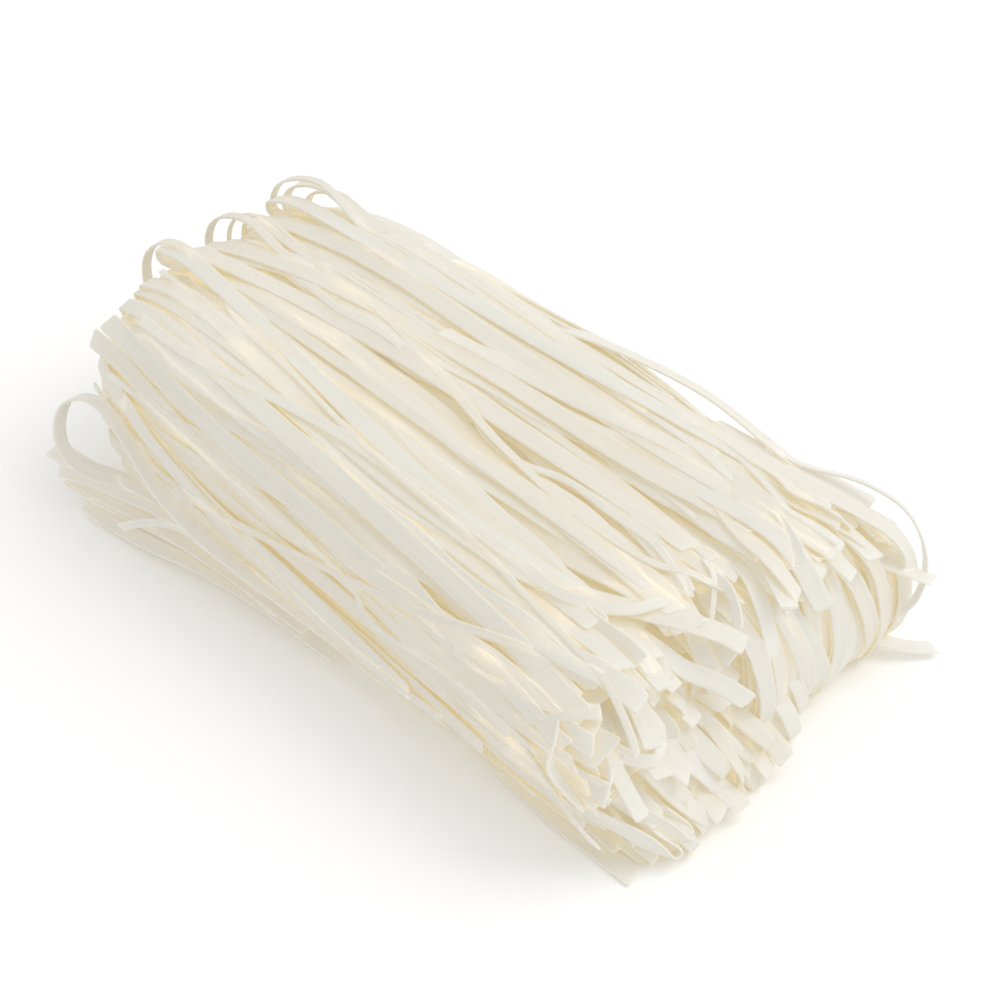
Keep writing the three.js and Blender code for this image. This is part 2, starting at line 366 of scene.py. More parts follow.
@dataclass
class Route:
    """The way of a strand's middle line, before it rests on what lies under it.

    Args:
        points: one row for each station, in millimetres.
        outward: the side that its face looks to, one row for each station.
        free: how many stations at its start hang free, and don't rest on the heap.
        fold: the station in the middle of a fold, or 0 where there is none.
    """

    points: Array
    outward: Array
    free: int = 0
    fold: int = 0

    def turned_under(self, radius: float, leg: float, spacing: float) -> "Route":
        """The same route with a fold before its start: round downwards, and back inside.

        Args:
            radius: the fold's radius.
            leg: how far it runs back.
            spacing: about the distance between two stations.

        Returns:
            The longer route.
        """
        start, out = self.points[0], self.outward[0]
        back = unit(self.points[0] - self.points[2])
        count = max(4, int(round(math.pi * radius / spacing)))
        angles = np.linspace(math.pi, 0, count, endpoint=False)[:, None]
        turn = start + radius * (np.sin(angles) * back + (np.cos(angles) - 1) * out)
        runs = np.arange(leg, 0.5 * spacing, -spacing)[:, None]
        run = start - 2 * radius * out - runs * back - LEG_SAG * runs**2 * out
        points = np.vstack([run, turn, self.points])
        side = unit(np.cross(out, -back))
        fresh = unit(np.cross(slopes(points), side))[: len(run) + len(turn)]
        free = len(run) + len(turn)
        return Route(points, np.vstack([fresh, self.outward]), free, free - len(turn) // 2)

    @property
    def distance(self) -> Array:
        """How far along the route each station lies, in millimetres."""
        return distances(self.points)


def evenly(points: Array, spacing: float) -> Array:
    """Spreads stations evenly along a row of points.

    Args:
        points: the points to follow.
        spacing: about the distance between two stations.

    Returns:
        The stations.
    """
    along = distances(points)
    count = max(5, int(round(along[-1] / spacing)) + 1)
    marks = np.linspace(0, along[-1], count)
    return np.stack([np.interp(marks, along, points[:, i]) for i in range(3)], axis=1)


def with_end_rings(stations: Array, share: float = 0.2) -> Array:
    """Adds one station close to each end, where a noodle's cut corners begin.

    Args:
        stations: one row or one number for each station.
        share: how far from the end it lies, as a share of the first span.

    Returns:
        The stations with two more.
    """
    first = stations[0] + (stations[1] - stations[0]) * share
    last = stations[-1] + (stations[-2] - stations[-1]) * share
    return np.concatenate([stations[:1], first[None], stations[1:-1], last[None], stations[-1:]])


def through(points: Sequence[Sequence[float]], per_span: int = 14) -> Array:
    """A smooth curve through a few points: a centripetal Catmull-Rom spline.

    Args:
        points: the points that it passes.
        per_span: how many samples lie between two of them.

    Returns:
        The samples.
    """
    given = np.asarray(points, float)
    ends = np.vstack([2 * given[0] - given[1], given, 2 * given[-1] - given[-2]])
    gaps = np.sqrt(np.linalg.norm(np.diff(ends, axis=0), axis=1))
    samples = []
    for i in range(1, len(ends) - 2):
        before, here, after, beyond = ends[i - 1 : i + 3]
        g0, g1, g2 = gaps[i - 1 : i + 2]
        leave = (here - before) / g0 - (after - before) / (g0 + g1) + (after - here) / g1
        arrive = (after - here) / g1 - (beyond - here) / (g1 + g2) + (beyond - after) / g2
        t = np.linspace(0, 1, per_span, endpoint=False)[:, None]
        samples.append(
            (2 * t**3 - 3 * t**2 + 1) * here + (t**3 - 2 * t**2 + t) * leave * g1
            + (3 * t**2 - 2 * t**3) * after + (t**3 - t**2) * arrive * g1
        )
    return np.vstack([*samples, given[-1:]])


@dataclass(frozen=True)
class Arch:
    """A strand that stands out of the folded end as an open arch, then lies over the top.

    Args:
        y: its place across the bundle.
        reach: how far out along X it turns.
        low: the height of its lower leg.
        high: the height of its turn's top.
        bulge: how far the turn stands out from where its legs start.
        skew: how far its legs lie apart across the bundle.
        width: the strand's width.
        ends: where it ends along the top.
    """

    y: float
    reach: float
    low: float
    high: float
    bulge: float
    skew: float
    width: float
    ends: float

    def route(self, form: BundleForm, spacing: float) -> Route:
        """Leads it from inside the bundle round its turn and over the top.

        Args:
            form: the bundle's form.
            spacing: about the distance between two stations.

        Returns:
            Its route, free where it stands out of the bundle.
        """
        centre = self.reach - self.bulge
        turn = np.linspace(-math.pi / 2, math.pi / 2, TURN_POINTS)
        heights = self.low + (self.high - self.low) * (1 + np.sin(turn)) / 2
        across = self.y + self.skew * np.linspace(-0.5, 0.5, TURN_POINTS)
        arch = np.stack([-centre - self.bulge * np.cos(turn), across, heights], axis=1)
        start = [(ARCH_LEG - centre, self.y - self.skew / 2, self.low)]
        along_top = np.linspace(ARCH_LANDS - centre, self.ends, OVER_POINTS)
        across_at = np.full_like(along_top, (self.y + self.skew / 2) / form.far_half_width)
        over = form.over_top(across_at, along_top)
        stations = evenly(through([*start, *arch, *over]), spacing)
        along = slopes(stations)
        outward = np.stack([-along[:, 2], 0 * along[:, 1], along[:, 0]], axis=1)
        free = int(np.argmax(stations[:, 0] > ARCH_FREE - centre))
        return Route(stations, unit(outward), free)


# ---------------------------------------------------------------------------- ribbons

# The ten corners of a noodle's cross-section: its left (-1) or right (1) edge, how many edge
# radii each is drawn in, and the upper face (1), the edge (0) or the lower face (-1).
CORNER_EDGES = np.array([-1, -1, 1, 1, 1, 1, 1, -1, -1, -1], float)
CORNERS_DRAWN_IN = np.array([1, 2.4, -2.4, -1, 0, -1, -2.4, 2.4, 1, 0], float)
CORNER_FACES = np.array([1, 1, 1, 1, 0, -1, -1, -1, -1, 0], float)
# The rings at a noodle's ends, and the share of its width and thickness that they have.
END_RINGS = ((0, 0.8, 0.75), (1, 0.97, 1.0), (-2, 0.97, 1.0), (-1, 0.8, 0.75))
# The rings that lean with a slanting cut, and how much of its slant they take.
LEANING_RINGS = ((0, 1.0), (1, 0.9), (2, 0.4))
# Where a station looks for strands over it: how far it leans aside, and what it counts for.
LOOKS = ((0.0, 0.4), (0.85, 0.3), (-0.85, 0.3))
# How far the streaks shift with a noodle's tint and its number, so that no two look alike.
STREAK_BY_TINT = 37.0
STREAK_BY_NUMBER = 11.0


@dataclass
class Ribbon:
    """One flat noodle, ready to be meshed.

    Args:
        points: its middle line, one row for each station.
        across: the direction of its width at each station.
        outward: the direction of its upper face at each station.
        half_width: half its width at each station.
        thickness: its thickness.
        cup: how far its edges lift over its middle.
        skews: how far its first and last cuts lean, as mm along for each mm across.
        tint: its shade against its neighbours, from 0 to 1.
        cut: how close each station is to a cut end, from 0 to 1.
    """

    points: Array
    across: Array
    outward: Array
    half_width: Array
    thickness: float
    cup: float
    skews: tuple[float, float]
    tint: float
    cut: Array

    def covered(self, tree: BVHTree, reach: float = 11.0) -> Array:
        """How deep each station lies under other strands.

        Args:
            tree: the upper faces of all strands.
            reach: how far off another strand still counts.

        Returns:
            From 0 (open) to 1 (buried), one row for each station, left edge and right edge.
        """
        found = np.zeros((len(self.points), 2))
        for column, side in enumerate((-1, 1)):
            starts = self.points + self.outward * (self.thickness / 2 + 0.3)
            starts = starts + self.across * (side * 0.8 * self.half_width)[:, None]
            for tilt, weight in LOOKS:
                ways = self.outward * math.cos(tilt) + self.across * (side * math.sin(tilt))
                for i, (start, way) in enumerate(zip(starts, ways)):
                    hit = tree.ray_cast(Vector(start), Vector(way), reach)
                    if hit[0] is not None:
                        found[i, column] += weight
            found[:, column] = smoothed(found[:, column], 0.8)
        return found


@dataclass
class RibbonMesher:
    """Joins many ribbons into the arrays of one mesh.

    Args:
        edge_radius: how round a noodle's edge is.
        ribbons: the noodles, in the order in which they were laid.
    """

    edge_radius: float = 0.25
    ribbons: list[Ribbon] = field(default_factory=list)

    def section(self, ribbon: Ribbon) -> tuple[Array, Array]:
        """The outline of each station's cross-section, as offsets across and outwards.

        Args:
            ribbon: the noodle.

        Returns:
            Two arrays with one row for each station and one column for each corner.
        """
        half = ribbon.half_width[:, None]
        offsets = CORNER_EDGES * half + CORNERS_DRAWN_IN * self.edge_radius
        lift = ribbon.cup * ((offsets / half) ** 2 - 0.35)
        heights = CORNER_FACES * (ribbon.thickness / 2) + lift
        for ring, width, thickness in END_RINGS:
            offsets[ring] *= width
            heights[ring] *= thickness
        return offsets, heights

    def places(self, ribbon: Ribbon, offsets: Array, heights: Array) -> Array:
        """Sets the cross-sections along a noodle, its ends leaning with their cuts.

        Args:
            ribbon: the noodle.
            offsets: how far across each corner lies.
            heights: how far outwards it lies.

        Returns:
            The corners' places, one row for each station.
        """
        places = (
            ribbon.points[:, None, :]
            + ribbon.across[:, None, :] * offsets[..., None]
            + ribbon.outward[:, None, :] * heights[..., None]
        )
        along = slopes(ribbon.points)
        for ring, share in LEANING_RINGS:
            for end, skew in zip((ring, -1 - ring), ribbon.skews):
                places[end] += along[end] * offsets[end][:, None] * (skew * share)
        return places

    def faces(self, stations: int, corners: int) -> tuple[Array, Array]:
        """The faces of one ribbon, and which of them are its caps.

        Args:
            stations: how many stations it has.
            corners: how many corners its cross-section has.

        Returns:
            The faces' corners, and one True or False for each face.
        """
        ring = np.arange(stations)[:, None] * corners + np.arange(corners)[None, :]
        ahead = np.roll(ring, -1, axis=1)
        sides = np.stack([ring[:-1], ring[1:], ahead[1:], ahead[:-1]], axis=-1).reshape(-1, 4)
        caps = []
        for row, turned in ((0, False), (stations - 1, True)):
            loop = ring[row][::-1] if turned else ring[row]
            caps += [[loop[i], loop[i + 1], loop[corners - 2 - i], loop[corners - 1 - i]]
                     for i in range(corners // 2 - 1)]
        return np.vstack([sides, caps]), np.arange(len(sides) + len(caps)) >= len(sides)

    def build(self, name: str, tree: BVHTree) -> bpy.types.Object:
        """Makes the joined mesh.

        Args:
            name: the piece's name.
            tree: the upper faces of all strands, for how deep each one lies.

        Returns:
            The piece, with its UV map and its shade attributes.
        """
        vertices, faces, uvs, shades, flat = [], [], [], [], []
        count = 0
        for number, ribbon in enumerate(self.ribbons):
            offsets, heights = self.section(ribbon)
            quads, is_cap = self.faces(*offsets.shape)
            vertices.append(self.places(ribbon, offsets, heights).reshape(-1, 3))
            faces.append(quads + count)
            flat.append(is_cap)
            distance = np.broadcast_to(distances(ribbon.points)[:, None], offsets.shape)
            shift = STREAK_BY_TINT * ribbon.tint + STREAK_BY_NUMBER * number
            uvs.append(np.stack([distance, offsets + shift], axis=-1).reshape(-1, 2))
            # Each corner's tint, its depth under other strands (for the painted shade), and its
            # nearness to a cut.
            shades.append(np.stack([
                np.broadcast_to(np.array(ribbon.tint), offsets.shape),
                ribbon.covered(tree)[:, (CORNER_EDGES > 0).astype(int)],
                np.broadcast_to(ribbon.cut[:, None], offsets.shape),
            ], axis=-1).reshape(-1, 3))
            count += offsets.size
        places = np.vstack(vertices)
        places[:, 2] = np.maximum(places[:, 2], LEAST_HEIGHT)
        mesh = bpy.data.meshes.new(name)
        mesh.from_pydata((places * MM).tolist(), [], np.vstack(faces).tolist())
        mesh.polygons.foreach_set("use_smooth", ~np.concatenate(flat))
        loops = np.empty(len(mesh.loops), int)
        mesh.loops.foreach_get("vertex_index", loops)
        layer = mesh.uv_layers.new(name="strand_mm")
        layer.data.foreach_set("uv", (np.vstack(uvs)[loops] / 100).ravel())
        values = np.vstack(shades)
        for i, label in enumerate(("tint", "depth", "cut")):
            attribute = mesh.attributes.new(label, "FLOAT", "POINT")
            attribute.data.foreach_set("value", values[:, i].copy())
        mesh.update()
        piece = bpy.data.objects.new(name, mesh)
        bpy.context.scene.collection.objects.link(piece)
        return piece


# ---------------------------------------------------------------------------- laying strands


@dataclass
class Bed:
    """What has been laid so far. A new strand rests on it, stiff, bridging what lies low.

    Args:
        form: the bundle's form.
        slack: how far a strand may press into what it rests on.
        bend: over what length a dry strand bends, in millimetres.
        spacing: the usual distance between two stations of a strand.
        corners: the corners of the faces that strands rest on.
        quads: those faces, by their corners' numbers.
        tree: the same faces, ready to be looked up.
    """

    form: BundleForm
    slack: float = 0.25
    bend: float = 11.0
    spacing: float = 3.2
    corners: list[tuple[float, float, float]] = field(default_factory=list)
    quads: list[tuple[int, ...]] = field(default_factory=list)
    tree: Optional[BVHTree] = None

    def heap(self, corners: Iterable[Sequence[float]], quads: Iterable[Sequence[int]]) -> None:
        """Adds faces that later strands rest on.

        Args:
            corners: the places of their corners, in millimetres.
            quads: the faces, each by the numbers of its corners.
        """
        first = len(self.corners)
        self.corners += [tuple(c) for c in corners]
        self.quads += [tuple(first + i for i in q) for q in quads]
        self.tree = BVHTree.FromPolygons(self.corners, self.quads)

    def support(self, starts: Array, outward: Array, reach: float, free: int) -> Array:
        """How high the heap stands over each start, along its outward direction.

        Args:
            starts: the points to look from.
            outward: the direction to look in from each of them.
            reach: how far over and under the start the heap counts.
            free: how many of the first starts are left out.

        Returns:
            The heights, and minus the reach where there is no heap.
        """
        heights = np.full(len(starts), -reach)
        for i in range(free, len(starts)):
            start, out = starts[i], outward[i]
            origin = Vector(start + out * reach)
            hit = self.tree.ray_cast(origin, Vector(-out), 2 * reach)
            if hit[0] is not None:
                heights[i] = reach - hit[3]
        return heights

    def cover(self, required: Array) -> Array:
        """Bends a stiff strand over what it rests on.

        Args:
            required: the least height at each station.

        Returns:
            The strand's heights, smooth and scarcely lower anywhere.
        """
        reach = self.bend / self.spacing
        line = required.copy()
        for _ in range(7):
            line = np.maximum(smoothed(line, reach), required - self.slack)
        return smoothed(line, 0.3 * reach)

    def lay(
        self, route: Route, half_width: Array, thickness: float, nominal: float,
        roll: Array, reach: float,
    ) -> tuple[Array, Array, Array]:
        """Rests a strand on the heap.

        Args:
            route: its route.
            half_width: half its width at each station.
            thickness: its thickness.
            nominal: its least height over the route.
            roll: its own lean at each station, in radians.
            reach: how far over and under the route the heap counts.

        Returns:
            The middle line, and its directions across and outward.
        """
        along = slopes(route.points)
        across = unit(np.cross(route.outward, along))
        outward = unit(np.cross(along, across))
        offsets = (-0.8, 0.0, 0.8)
        tops = []
        for offset in offsets:
            starts = route.points + across * (half_width * offset)[:, None]
            found = self.support(starts, outward, reach, route.free)
            tops.append(np.maximum(found, nominal - 1.0))
        lean = (tops[2] - tops[0]) / (1.6 * half_width)
        lean = smoothed(np.clip(0.6 * lean, -0.3, 0.3), 3.0)
        lean = np.clip(lean + np.tan(roll), -1.4, 1.4)
        needed = np.max([top - lean * half_width * o for top, o in zip(tops, offsets)], axis=0)
        needed = np.maximum(needed + thickness / 2, nominal)
        held = route.free if route.fold else 0
        needed[:held] = needed[held]
        heights = self.cover(needed)
        angle = np.arctan(lean)[:, None]
        points = route.points + outward * heights[:, None]
        points[:held] = route.points[:held] + outward[held] * heights[held]
        along = slopes(points)
        leaned = across * np.cos(angle) + outward * np.sin(angle)
        leaned = unit(leaned - along * np.sum(leaned * along, axis=1, keepdims=True))
        face = unit(np.cross(along, leaned))
        under = points[:, 2] - np.abs(leaned[:, 2]) * half_width - np.abs(face[:, 2]) * thickness / 2
        points[:, 2] += smoothed(np.maximum(0.0, REST_GAP - under), 1.0)
        return points, leaned, face

    def remember(self, ribbon: Ribbon) -> None:
        """Adds a ribbon's upper face to the heap.

        Args:
            ribbon: the ribbon.
        """
        top = ribbon.points + ribbon.outward * (ribbon.thickness / 2)
        side = ribbon.across * ribbon.half_width[:, None]
        rows = np.stack([top - side, top + side], axis=1)[::2]
        quads = [(2 * i, 2 * i + 1, 2 * i + 3, 2 * i + 2) for i in range(len(rows) - 1)]
        self.heap(rows.reshape(-1, 3).tolist(), quads)


@dataclass
class Weaver:
    """Turns routes into noodles that rest on each other, uneven in width, lie and shade.

    Args:
        form: the bundle's form.
        bed: what has been laid so far.
        seed: what its random numbers start from.
        noodle_width: the usual width.
        noodle_thickness: the usual thickness.
        sliver_share: how many strands are split slivers.
        double_share: how many strands are two that dried stuck together.
        slivers: the width of a sliver, least and most.
        doubles: the width of a stuck pair.
        singles: the width of any other strand.
        width_spread: how far the widths of those usually differ.
        thicknesses: the thickness of a strand against the usual one.
        edge_wobble: how uneven a strand's edges are, as a share of its width.
        sway_degrees: how far it leans from side to side on its way.
        pinch: how much narrower it is in the middle of a fold.
        rng: the random numbers.
    """

    form: BundleForm
    bed: Bed
    seed: int = 7
    noodle_width: float = 5.3
    noodle_thickness: float = 0.7
    sliver_share: float = 0.06
    double_share: float = 0.1
    slivers: Range = (1.7, 2.9)
    doubles: Range = (7.2, 9.4)
    singles: Range = (3.8, 6.6)
    width_spread: float = 0.55
    thicknesses: Range = (0.88, 1.12)
    edge_wobble: float = 0.022
    sway_degrees: float = 1.6
    pinch: float = 0.25
    rng: np.random.Generator = field(init=False)

    def __post_init__(self) -> None:
        """Starts the random numbers."""
        self.rng = np.random.default_rng(self.seed)

    def draw(self, low: float, high: float) -> float:
        """A random number between low and high."""
        return float(self.rng.uniform(low, high))

    def width(self) -> float:
        """Draws a strand's width.

        Returns:
            Mostly the usual one, now and then a sliver's or a stuck pair's.
        """
        pick = self.rng.uniform()
        if pick < self.sliver_share:
            return self.draw(*self.slivers)
        if pick < self.sliver_share + self.double_share:
            return self.draw(*self.doubles)
        return float(np.clip(self.rng.normal(self.noodle_width, self.width_spread), *self.singles))

    def strand(
        self, mesher: RibbonMesher, route: Route, width: Optional[float] = None,
        nominal: float = 0.0, roll_degrees: float = 0.0, twist_degrees: float = 0.0,
        twist_at: Optional[float] = None, rests: bool = True, reach: float = 16.0,
        cut_ends: tuple[bool, bool] = (True, True), kept: bool = True,
    ) -> Ribbon:
        """Lays one noodle.

        Args:
            mesher: the mesh that it joins.
            route: its way.
            width: its width, or None to draw one.
            nominal: the least height of its middle over its route.
            roll_degrees: its lean to one side.
            twist_degrees: how far it turns somewhere along its way, and back.
            twist_at: where it does so, as a share of its length, or None to draw the place.
            rests: whether it rests on the heap or goes exactly where its route goes.
            reach: how far over and under its route the heap counts.
            cut_ends: which of its ends is a clean cut.
            kept: whether later strands rest on it.

        Returns:
            The noodle.
        """
        distance = route.distance
        width = self.width() if width is None else width
        edge = Wobble(self.rng, self.edge_wobble, (70.0, 23.0)).at(distance)
        half_width = width / 2 * (1 + edge)
        if route.fold:
            from_fold = distance - distance[route.fold]
            half_width = half_width * (1 - self.pinch * np.exp(-((from_fold / 3.5) ** 2)))
        thickness = self.noodle_thickness * self.draw(*self.thicknesses)
        share = self.draw(0.15, 0.85) if twist_at is None else twist_at
        centre, spread = share * distance[-1], self.draw(14.0, 26.0)
        turn = twist_degrees * np.exp(-(((distance - centre) / spread) ** 2))
        sway = Wobble(self.rng, self.sway_degrees, (80.0, 31.0)).at(distance)
        roll = np.radians(roll_degrees + turn + sway)
        if rests:
            laid = self.bed.lay(route, half_width, thickness, nominal, roll, reach)
            points, across, outward = laid
        else:
            along = slopes(route.points)
            flat = unit(np.cross(route.outward, along))
            face = unit(np.cross(along, flat))
            points = route.points + face * nominal
            across = flat * np.cos(roll)[:, None] + face * np.sin(roll)[:, None]
            outward = unit(np.cross(along, across))
        nearness = np.maximum(
            np.exp(-distance / 5.0) * cut_ends[0],
            np.exp(-(distance[-1] - distance) / 5.0) * cut_ends[1],
        )
        rings = [with_end_rings(a) for a in (points, across, outward, half_width, nearness)]
        points, across, outward, half_width, nearness = rings
        ribbon = Ribbon(
            points=points, across=unit(across), outward=unit(outward), half_width=half_width,
            thickness=thickness, cup=self.draw(-0.1, 0.14),
            skews=(self.draw(-0.5, 0.5), self.draw(-0.5, 0.5)), tint=self.draw(0.0, 1.0),
            cut=nearness,
        )
        mesher.ribbons.append(ribbon)
        if kept:
            self.bed.remember(ribbon)
        return ribbon


@dataclass(frozen=True)
class Parting:
    """A lens-shaped opening where the upper strands lie apart.

    Args:
        x: its middle along the bundle.
        y: its middle across the bundle.
        length: its length.
        width: its width.
        reach: how far aside the strands still give way.
    """

    x: float
    y: float
    length: float
    width: float
    reach: float = 11.0

    def part(self, points: Array) -> Array:
        """Pushes points sideways, away from the opening's middle line.

        Args:
            points: a strand's points.

        Returns:
            The same points, pushed.
        """
        aside = points[:, 1] - self.y
        near = np.exp(-(((points[:, 0] - self.x) / (self.length / 2)) ** 2))
        near = near * np.exp(-np.abs(aside) / self.reach)
        pushed = points.copy()
        pushed[:, 1] += np.tanh(aside / 1.2) * near * self.width / 2
        return pushed


# ---------------------------------------------------------------------------- pieces


@dataclass
class Core:
    """The shaded inside of the bundle: what is seen between the strands.

    Args:
        form: the bundle's form.
        inset: how far it stays under the strands.
        behind_folds: how far it stays behind the folds of the cut end.
        behind_turns: how far it reaches to the turns of the folded end.
        lowest: the height of its underside.
        ripple: how deep the furrows between its strands are.
        cuts: how often each edge of the cube is divided.
        piece: the finished piece.
    """

    form: BundleForm
    inset: float = 12.5
    behind_folds: float = 8.0
    behind_turns: float = 87.0
    lowest: float = 3.4
    ripple: float = 0.5
    cuts: int = 23
    piece: bpy.types.Object = field(init=False)

    def build(self, bed: Bed) -> None:
        """Presses a cube to the form, inside it, and starts the heap with it.

        Args:
            bed: the heap.
        """
        bpy.ops.object.select_all(action="DESELECT")
        bpy.ops.mesh.primitive_cube_add(size=2.0, location=(0, 0, 0))
        self.piece = bpy.context.active_object
        self.piece.name = "noodle_core"
        bpy.ops.object.mode_set(mode="EDIT")
        bpy.ops.mesh.select_all(action="SELECT")
        bpy.ops.mesh.subdivide(number_cuts=self.cuts)
        bpy.ops.object.mode_set(mode="OBJECT")
        mesh = self.piece.data
        places = np.empty(len(mesh.vertices) * 3)
        mesh.vertices.foreach_get("co", places)
        surface = self.form.point(places.reshape(-1, 3))
        inner = surface - self.form.outward(surface) * self.inset
        limit = self.form.cut_face(inner[:, 1], inner[:, 2]) - self.behind_folds
        inner[:, 0] = np.clip(inner[:, 0], -self.behind_turns, limit)
        inner[:, 2] = np.maximum(inner[:, 2], self.lowest)
        furrows = np.sin(inner[:, 1] * 1.5 + 0.8 * np.sin(inner[:, 0] / 17))
        inner += self.form.outward(surface) * (self.ripple * furrows)[:, None]
        mesh.vertices.foreach_set("co", (inner * MM).ravel())
        mesh.polygons.foreach_set("use_smooth", np.ones(len(mesh.polygons), bool))
        mesh.update()
        bed.heap(inner.tolist(), [tuple(p.vertices) for p in mesh.polygons])


@dataclass
class Family:
    """A family of strands that becomes one piece.

    Args:
        weaver: what lays them.
        name: the piece's name.
        mesher: what joins them.
    """

    weaver: Weaver
    name: str
    mesher: RibbonMesher = field(default_factory=RibbonMesher, kw_only=True)


@dataclass
class Underside(Family):
    """The strands that the bundle rests on.

    Args:
        lanes: how many lie in a layer.
        edge: how far across the outermost lie, from 0 to 1.
        layers: the least height of each layer over the form, the inner one first.
        folded_reach: how far they run to the folded end, least and most.
        cut_reach: how far they run to the cut end.
    """

    lanes: int = 21
    edge: float = 0.86
    layers: Range = (-3.0, -1.9)
    folded_reach: Range = (96.0, 108.0)
    cut_reach: Range = (92.0, 102.0)

    def route(self, lane: int) -> Route:
        """The way of one strand.

        Args:
            lane: its number across the underside.

        Returns:
            Its route.
        """
        weaver, form = self.weaver, self.weaver.form
        b = spread(-self.edge, self.edge, lane, self.lanes) + weaver.draw(-0.02, 0.02)
        start, end = -weaver.draw(*self.folded_reach), weaver.draw(*self.cut_reach)
        s = np.arange(start, end, weaver.bed.spacing)
        lean = weaver.draw(-0.06, 0.06)
        sway = Wobble(weaver.rng, 0.018, (150.0, 70.0)).at(s)
        b = b + lean * s / form.cut_length + sway
        points = form.point(np.stack([s / form.cut_length, b, np.full(len(s), -1.0)], axis=1))
        return Route(points, form.outward(points))

    def build(self) -> None:
        """Lays them from the core downwards."""
        weaver = self.weaver
        for nominal in self.layers:
            for lane in weaver.rng.permutation(self.lanes):
                weaver.strand(
                    self.mesher, self.route(int(lane)), nominal=nominal,
                    roll_degrees=weaver.draw(-4, 4), reach=5,
                )


@dataclass(frozen=True)
class EndTier:
    """A row of strands that come down the face of one end and turn under at their tips.

    Args:
        lanes: how many lie in the row.
        first: the place of the first across the bundle.
        last: the place of the last.
        inset: how far under the outermost strands they start.
        top: where they come over the edge, least and most.
        tip: where they turn under, least and most.
        radius: the radius of that turn, least and most.
    """

    lanes: int
    first: float
    last: float
    inset: float
    top: Range
    tip: Range
    radius: Range


@dataclass
class CutEndStrands(Family):
    """The strands down the face of the cut end.

    Args:
        tiers: the rows, from the inside out; their tops and tips are heights.
        far_edge: how far across they reach on the far side.
        widest: how wide one may be.
    """

    tiers: tuple[EndTier, ...]
    far_edge: float = 54.0
    widest: float = 6.4

    def route(self, tier: EndTier, lane: int) -> Route:
        """Leads one strand from its tip up the face and back over the edge.

        Args:
            tier: its row.
            lane: its number in the row.

        Returns:
            Its route.
        """
        weaver, form = self.weaver, self.weaver.form
        y = spread(tier.first, tier.last, lane, tier.lanes) + weaver.draw(-1.2, 1.2)
        radius = weaver.draw(*tier.radius)
        low = max(weaver.draw(*tier.tip), radius + 0.6)
        high = max(weaver.draw(*tier.top), low + 6)
        high -= 8 * float(smoothstep(32, self.far_edge, y))
        skew = min(float(weaver.rng.normal(0, 4.5)), (self.far_edge - y) / 2)
        heights = np.linspace(low, high, 7)
        side = y + skew * np.linspace(-0.5, 0.5, 7)
        face = np.stack([form.cut_face(y, heights) - tier.inset, side, heights], axis=1)
        top = face[-1]
        back = [top + (-9, 0.3 * skew, 4.2), top + (-20, 0.6 * skew, 6.4), top + (-34, skew, 7.4)]
        points = evenly(through([*face, *back]), 2.2)
        along = slopes(points)
        outward = unit(np.stack([along[:, 2], 0 * along[:, 1], -along[:, 0]], axis=1))
        return Route(points, outward).turned_under(radius, leg=weaver.draw(6, 14), spacing=1.6)

    def build(self) -> None:
        """Lays every row, its strands in a random order."""
        weaver = self.weaver
        for tier in self.tiers:
            for lane in weaver.rng.permutation(tier.lanes):
                weaver.strand(
                    self.mesher, self.route(tier, int(lane)),
                    width=min(weaver.width(), self.widest),
                    nominal=weaver.draw(-1.2, 1.4) - tier.inset,
                    roll_degrees=float(weaver.rng.normal(0, 5)), reach=5,
                )


@dataclass(frozen=True)
class TipRow:
    """A row of strands whose tips stand out of the near half of the cut end.

    Args:
        lanes: how many lie in the row.
        reach: how far out their tips are, least and most.
        heights: the heights of their tips.
        fall: how steeply they come down to their tips.
        folded: how many of them are folded under at the tip; the others are cut.
        first: the place of the first across the bundle.
        last: the place of the last.
    """

    lanes: int
    reach: Range
    heights: Range
    fall: Range
    folded: float
    first: float = -50.0
    last: float = -5.0


@dataclass
class NearEndStrands(Family):
    """The rows of tips of the cut end's near half, a toe of long fingers at the floor.

    Args:
        rows: the rows, from the inside out.
        widest: how wide one may be.
        twisted: how many of them are twisted at their tips.
    """

    rows: tuple[TipRow, ...]
    widest: float = 5.8
    twisted: float = 0.25

    def route(self, row: TipRow, lane: int) -> Route:
        """Leads one strand from its tip back into the bundle.

        Args:
            row: its row.
            lane: its number in the row.

        Returns:
            Its route.
        """
        weaver = self.weaver
        y = spread(row.first, row.last, lane, row.lanes) + weaver.draw(-1.4, 1.4)
        height = weaver.draw(*row.heights)
        tip = weaver.draw(*row.reach) - 4 * float(smoothstep(-44, -54, y))
        fall = weaver.draw(*row.fall)
        lean = min(weaver.draw(0.0, 0.45), max(0.0, (y + 52) / 24))
        back = np.array([0.0, 3.0, 7.0, 12.0, 18.0, 26.0, 36.0])
        inward = 16 * (1 - np.exp(-back / 16))
        rise = fall * back * np.exp(-back / 40) + 0.02 * fall * np.minimum(back, 6) ** 1.5
        points = np.stack([tip - back, y - lean * inward, height + rise], axis=1)
        stations = evenly(through(points), 2.2)
        outward = np.cross(np.array([0.0, 1.0, 0.0]), slopes(stations))
        outward = unit(outward * np.sign(outward[:, 2:3]))
        route = Route(stations, outward)
        if weaver.rng.uniform() > row.folded:
            return route
        radius = min(weaver.draw(1.0, 2.2), max(0.5, height / 2 - 0.3))
        return route.turned_under(radius, leg=7.0, spacing=1.4)

    def build(self) -> None:
        """Lays every row, its strands in a random order."""
        weaver = self.weaver
        for row in self.rows:
            for lane in weaver.rng.permutation(row.lanes):
                pick = weaver.rng.uniform()
                weaver.strand(
                    self.mesher, self.route(row, int(lane)),
                    width=min(weaver.width(), self.widest), nominal=-1.0,
                    roll_degrees=float(weaver.rng.normal(0, 8)),
                    twist_degrees=weaver.draw(-60, 60) if pick < self.twisted else 0.0,
                    twist_at=0.0, reach=2.5,
                )


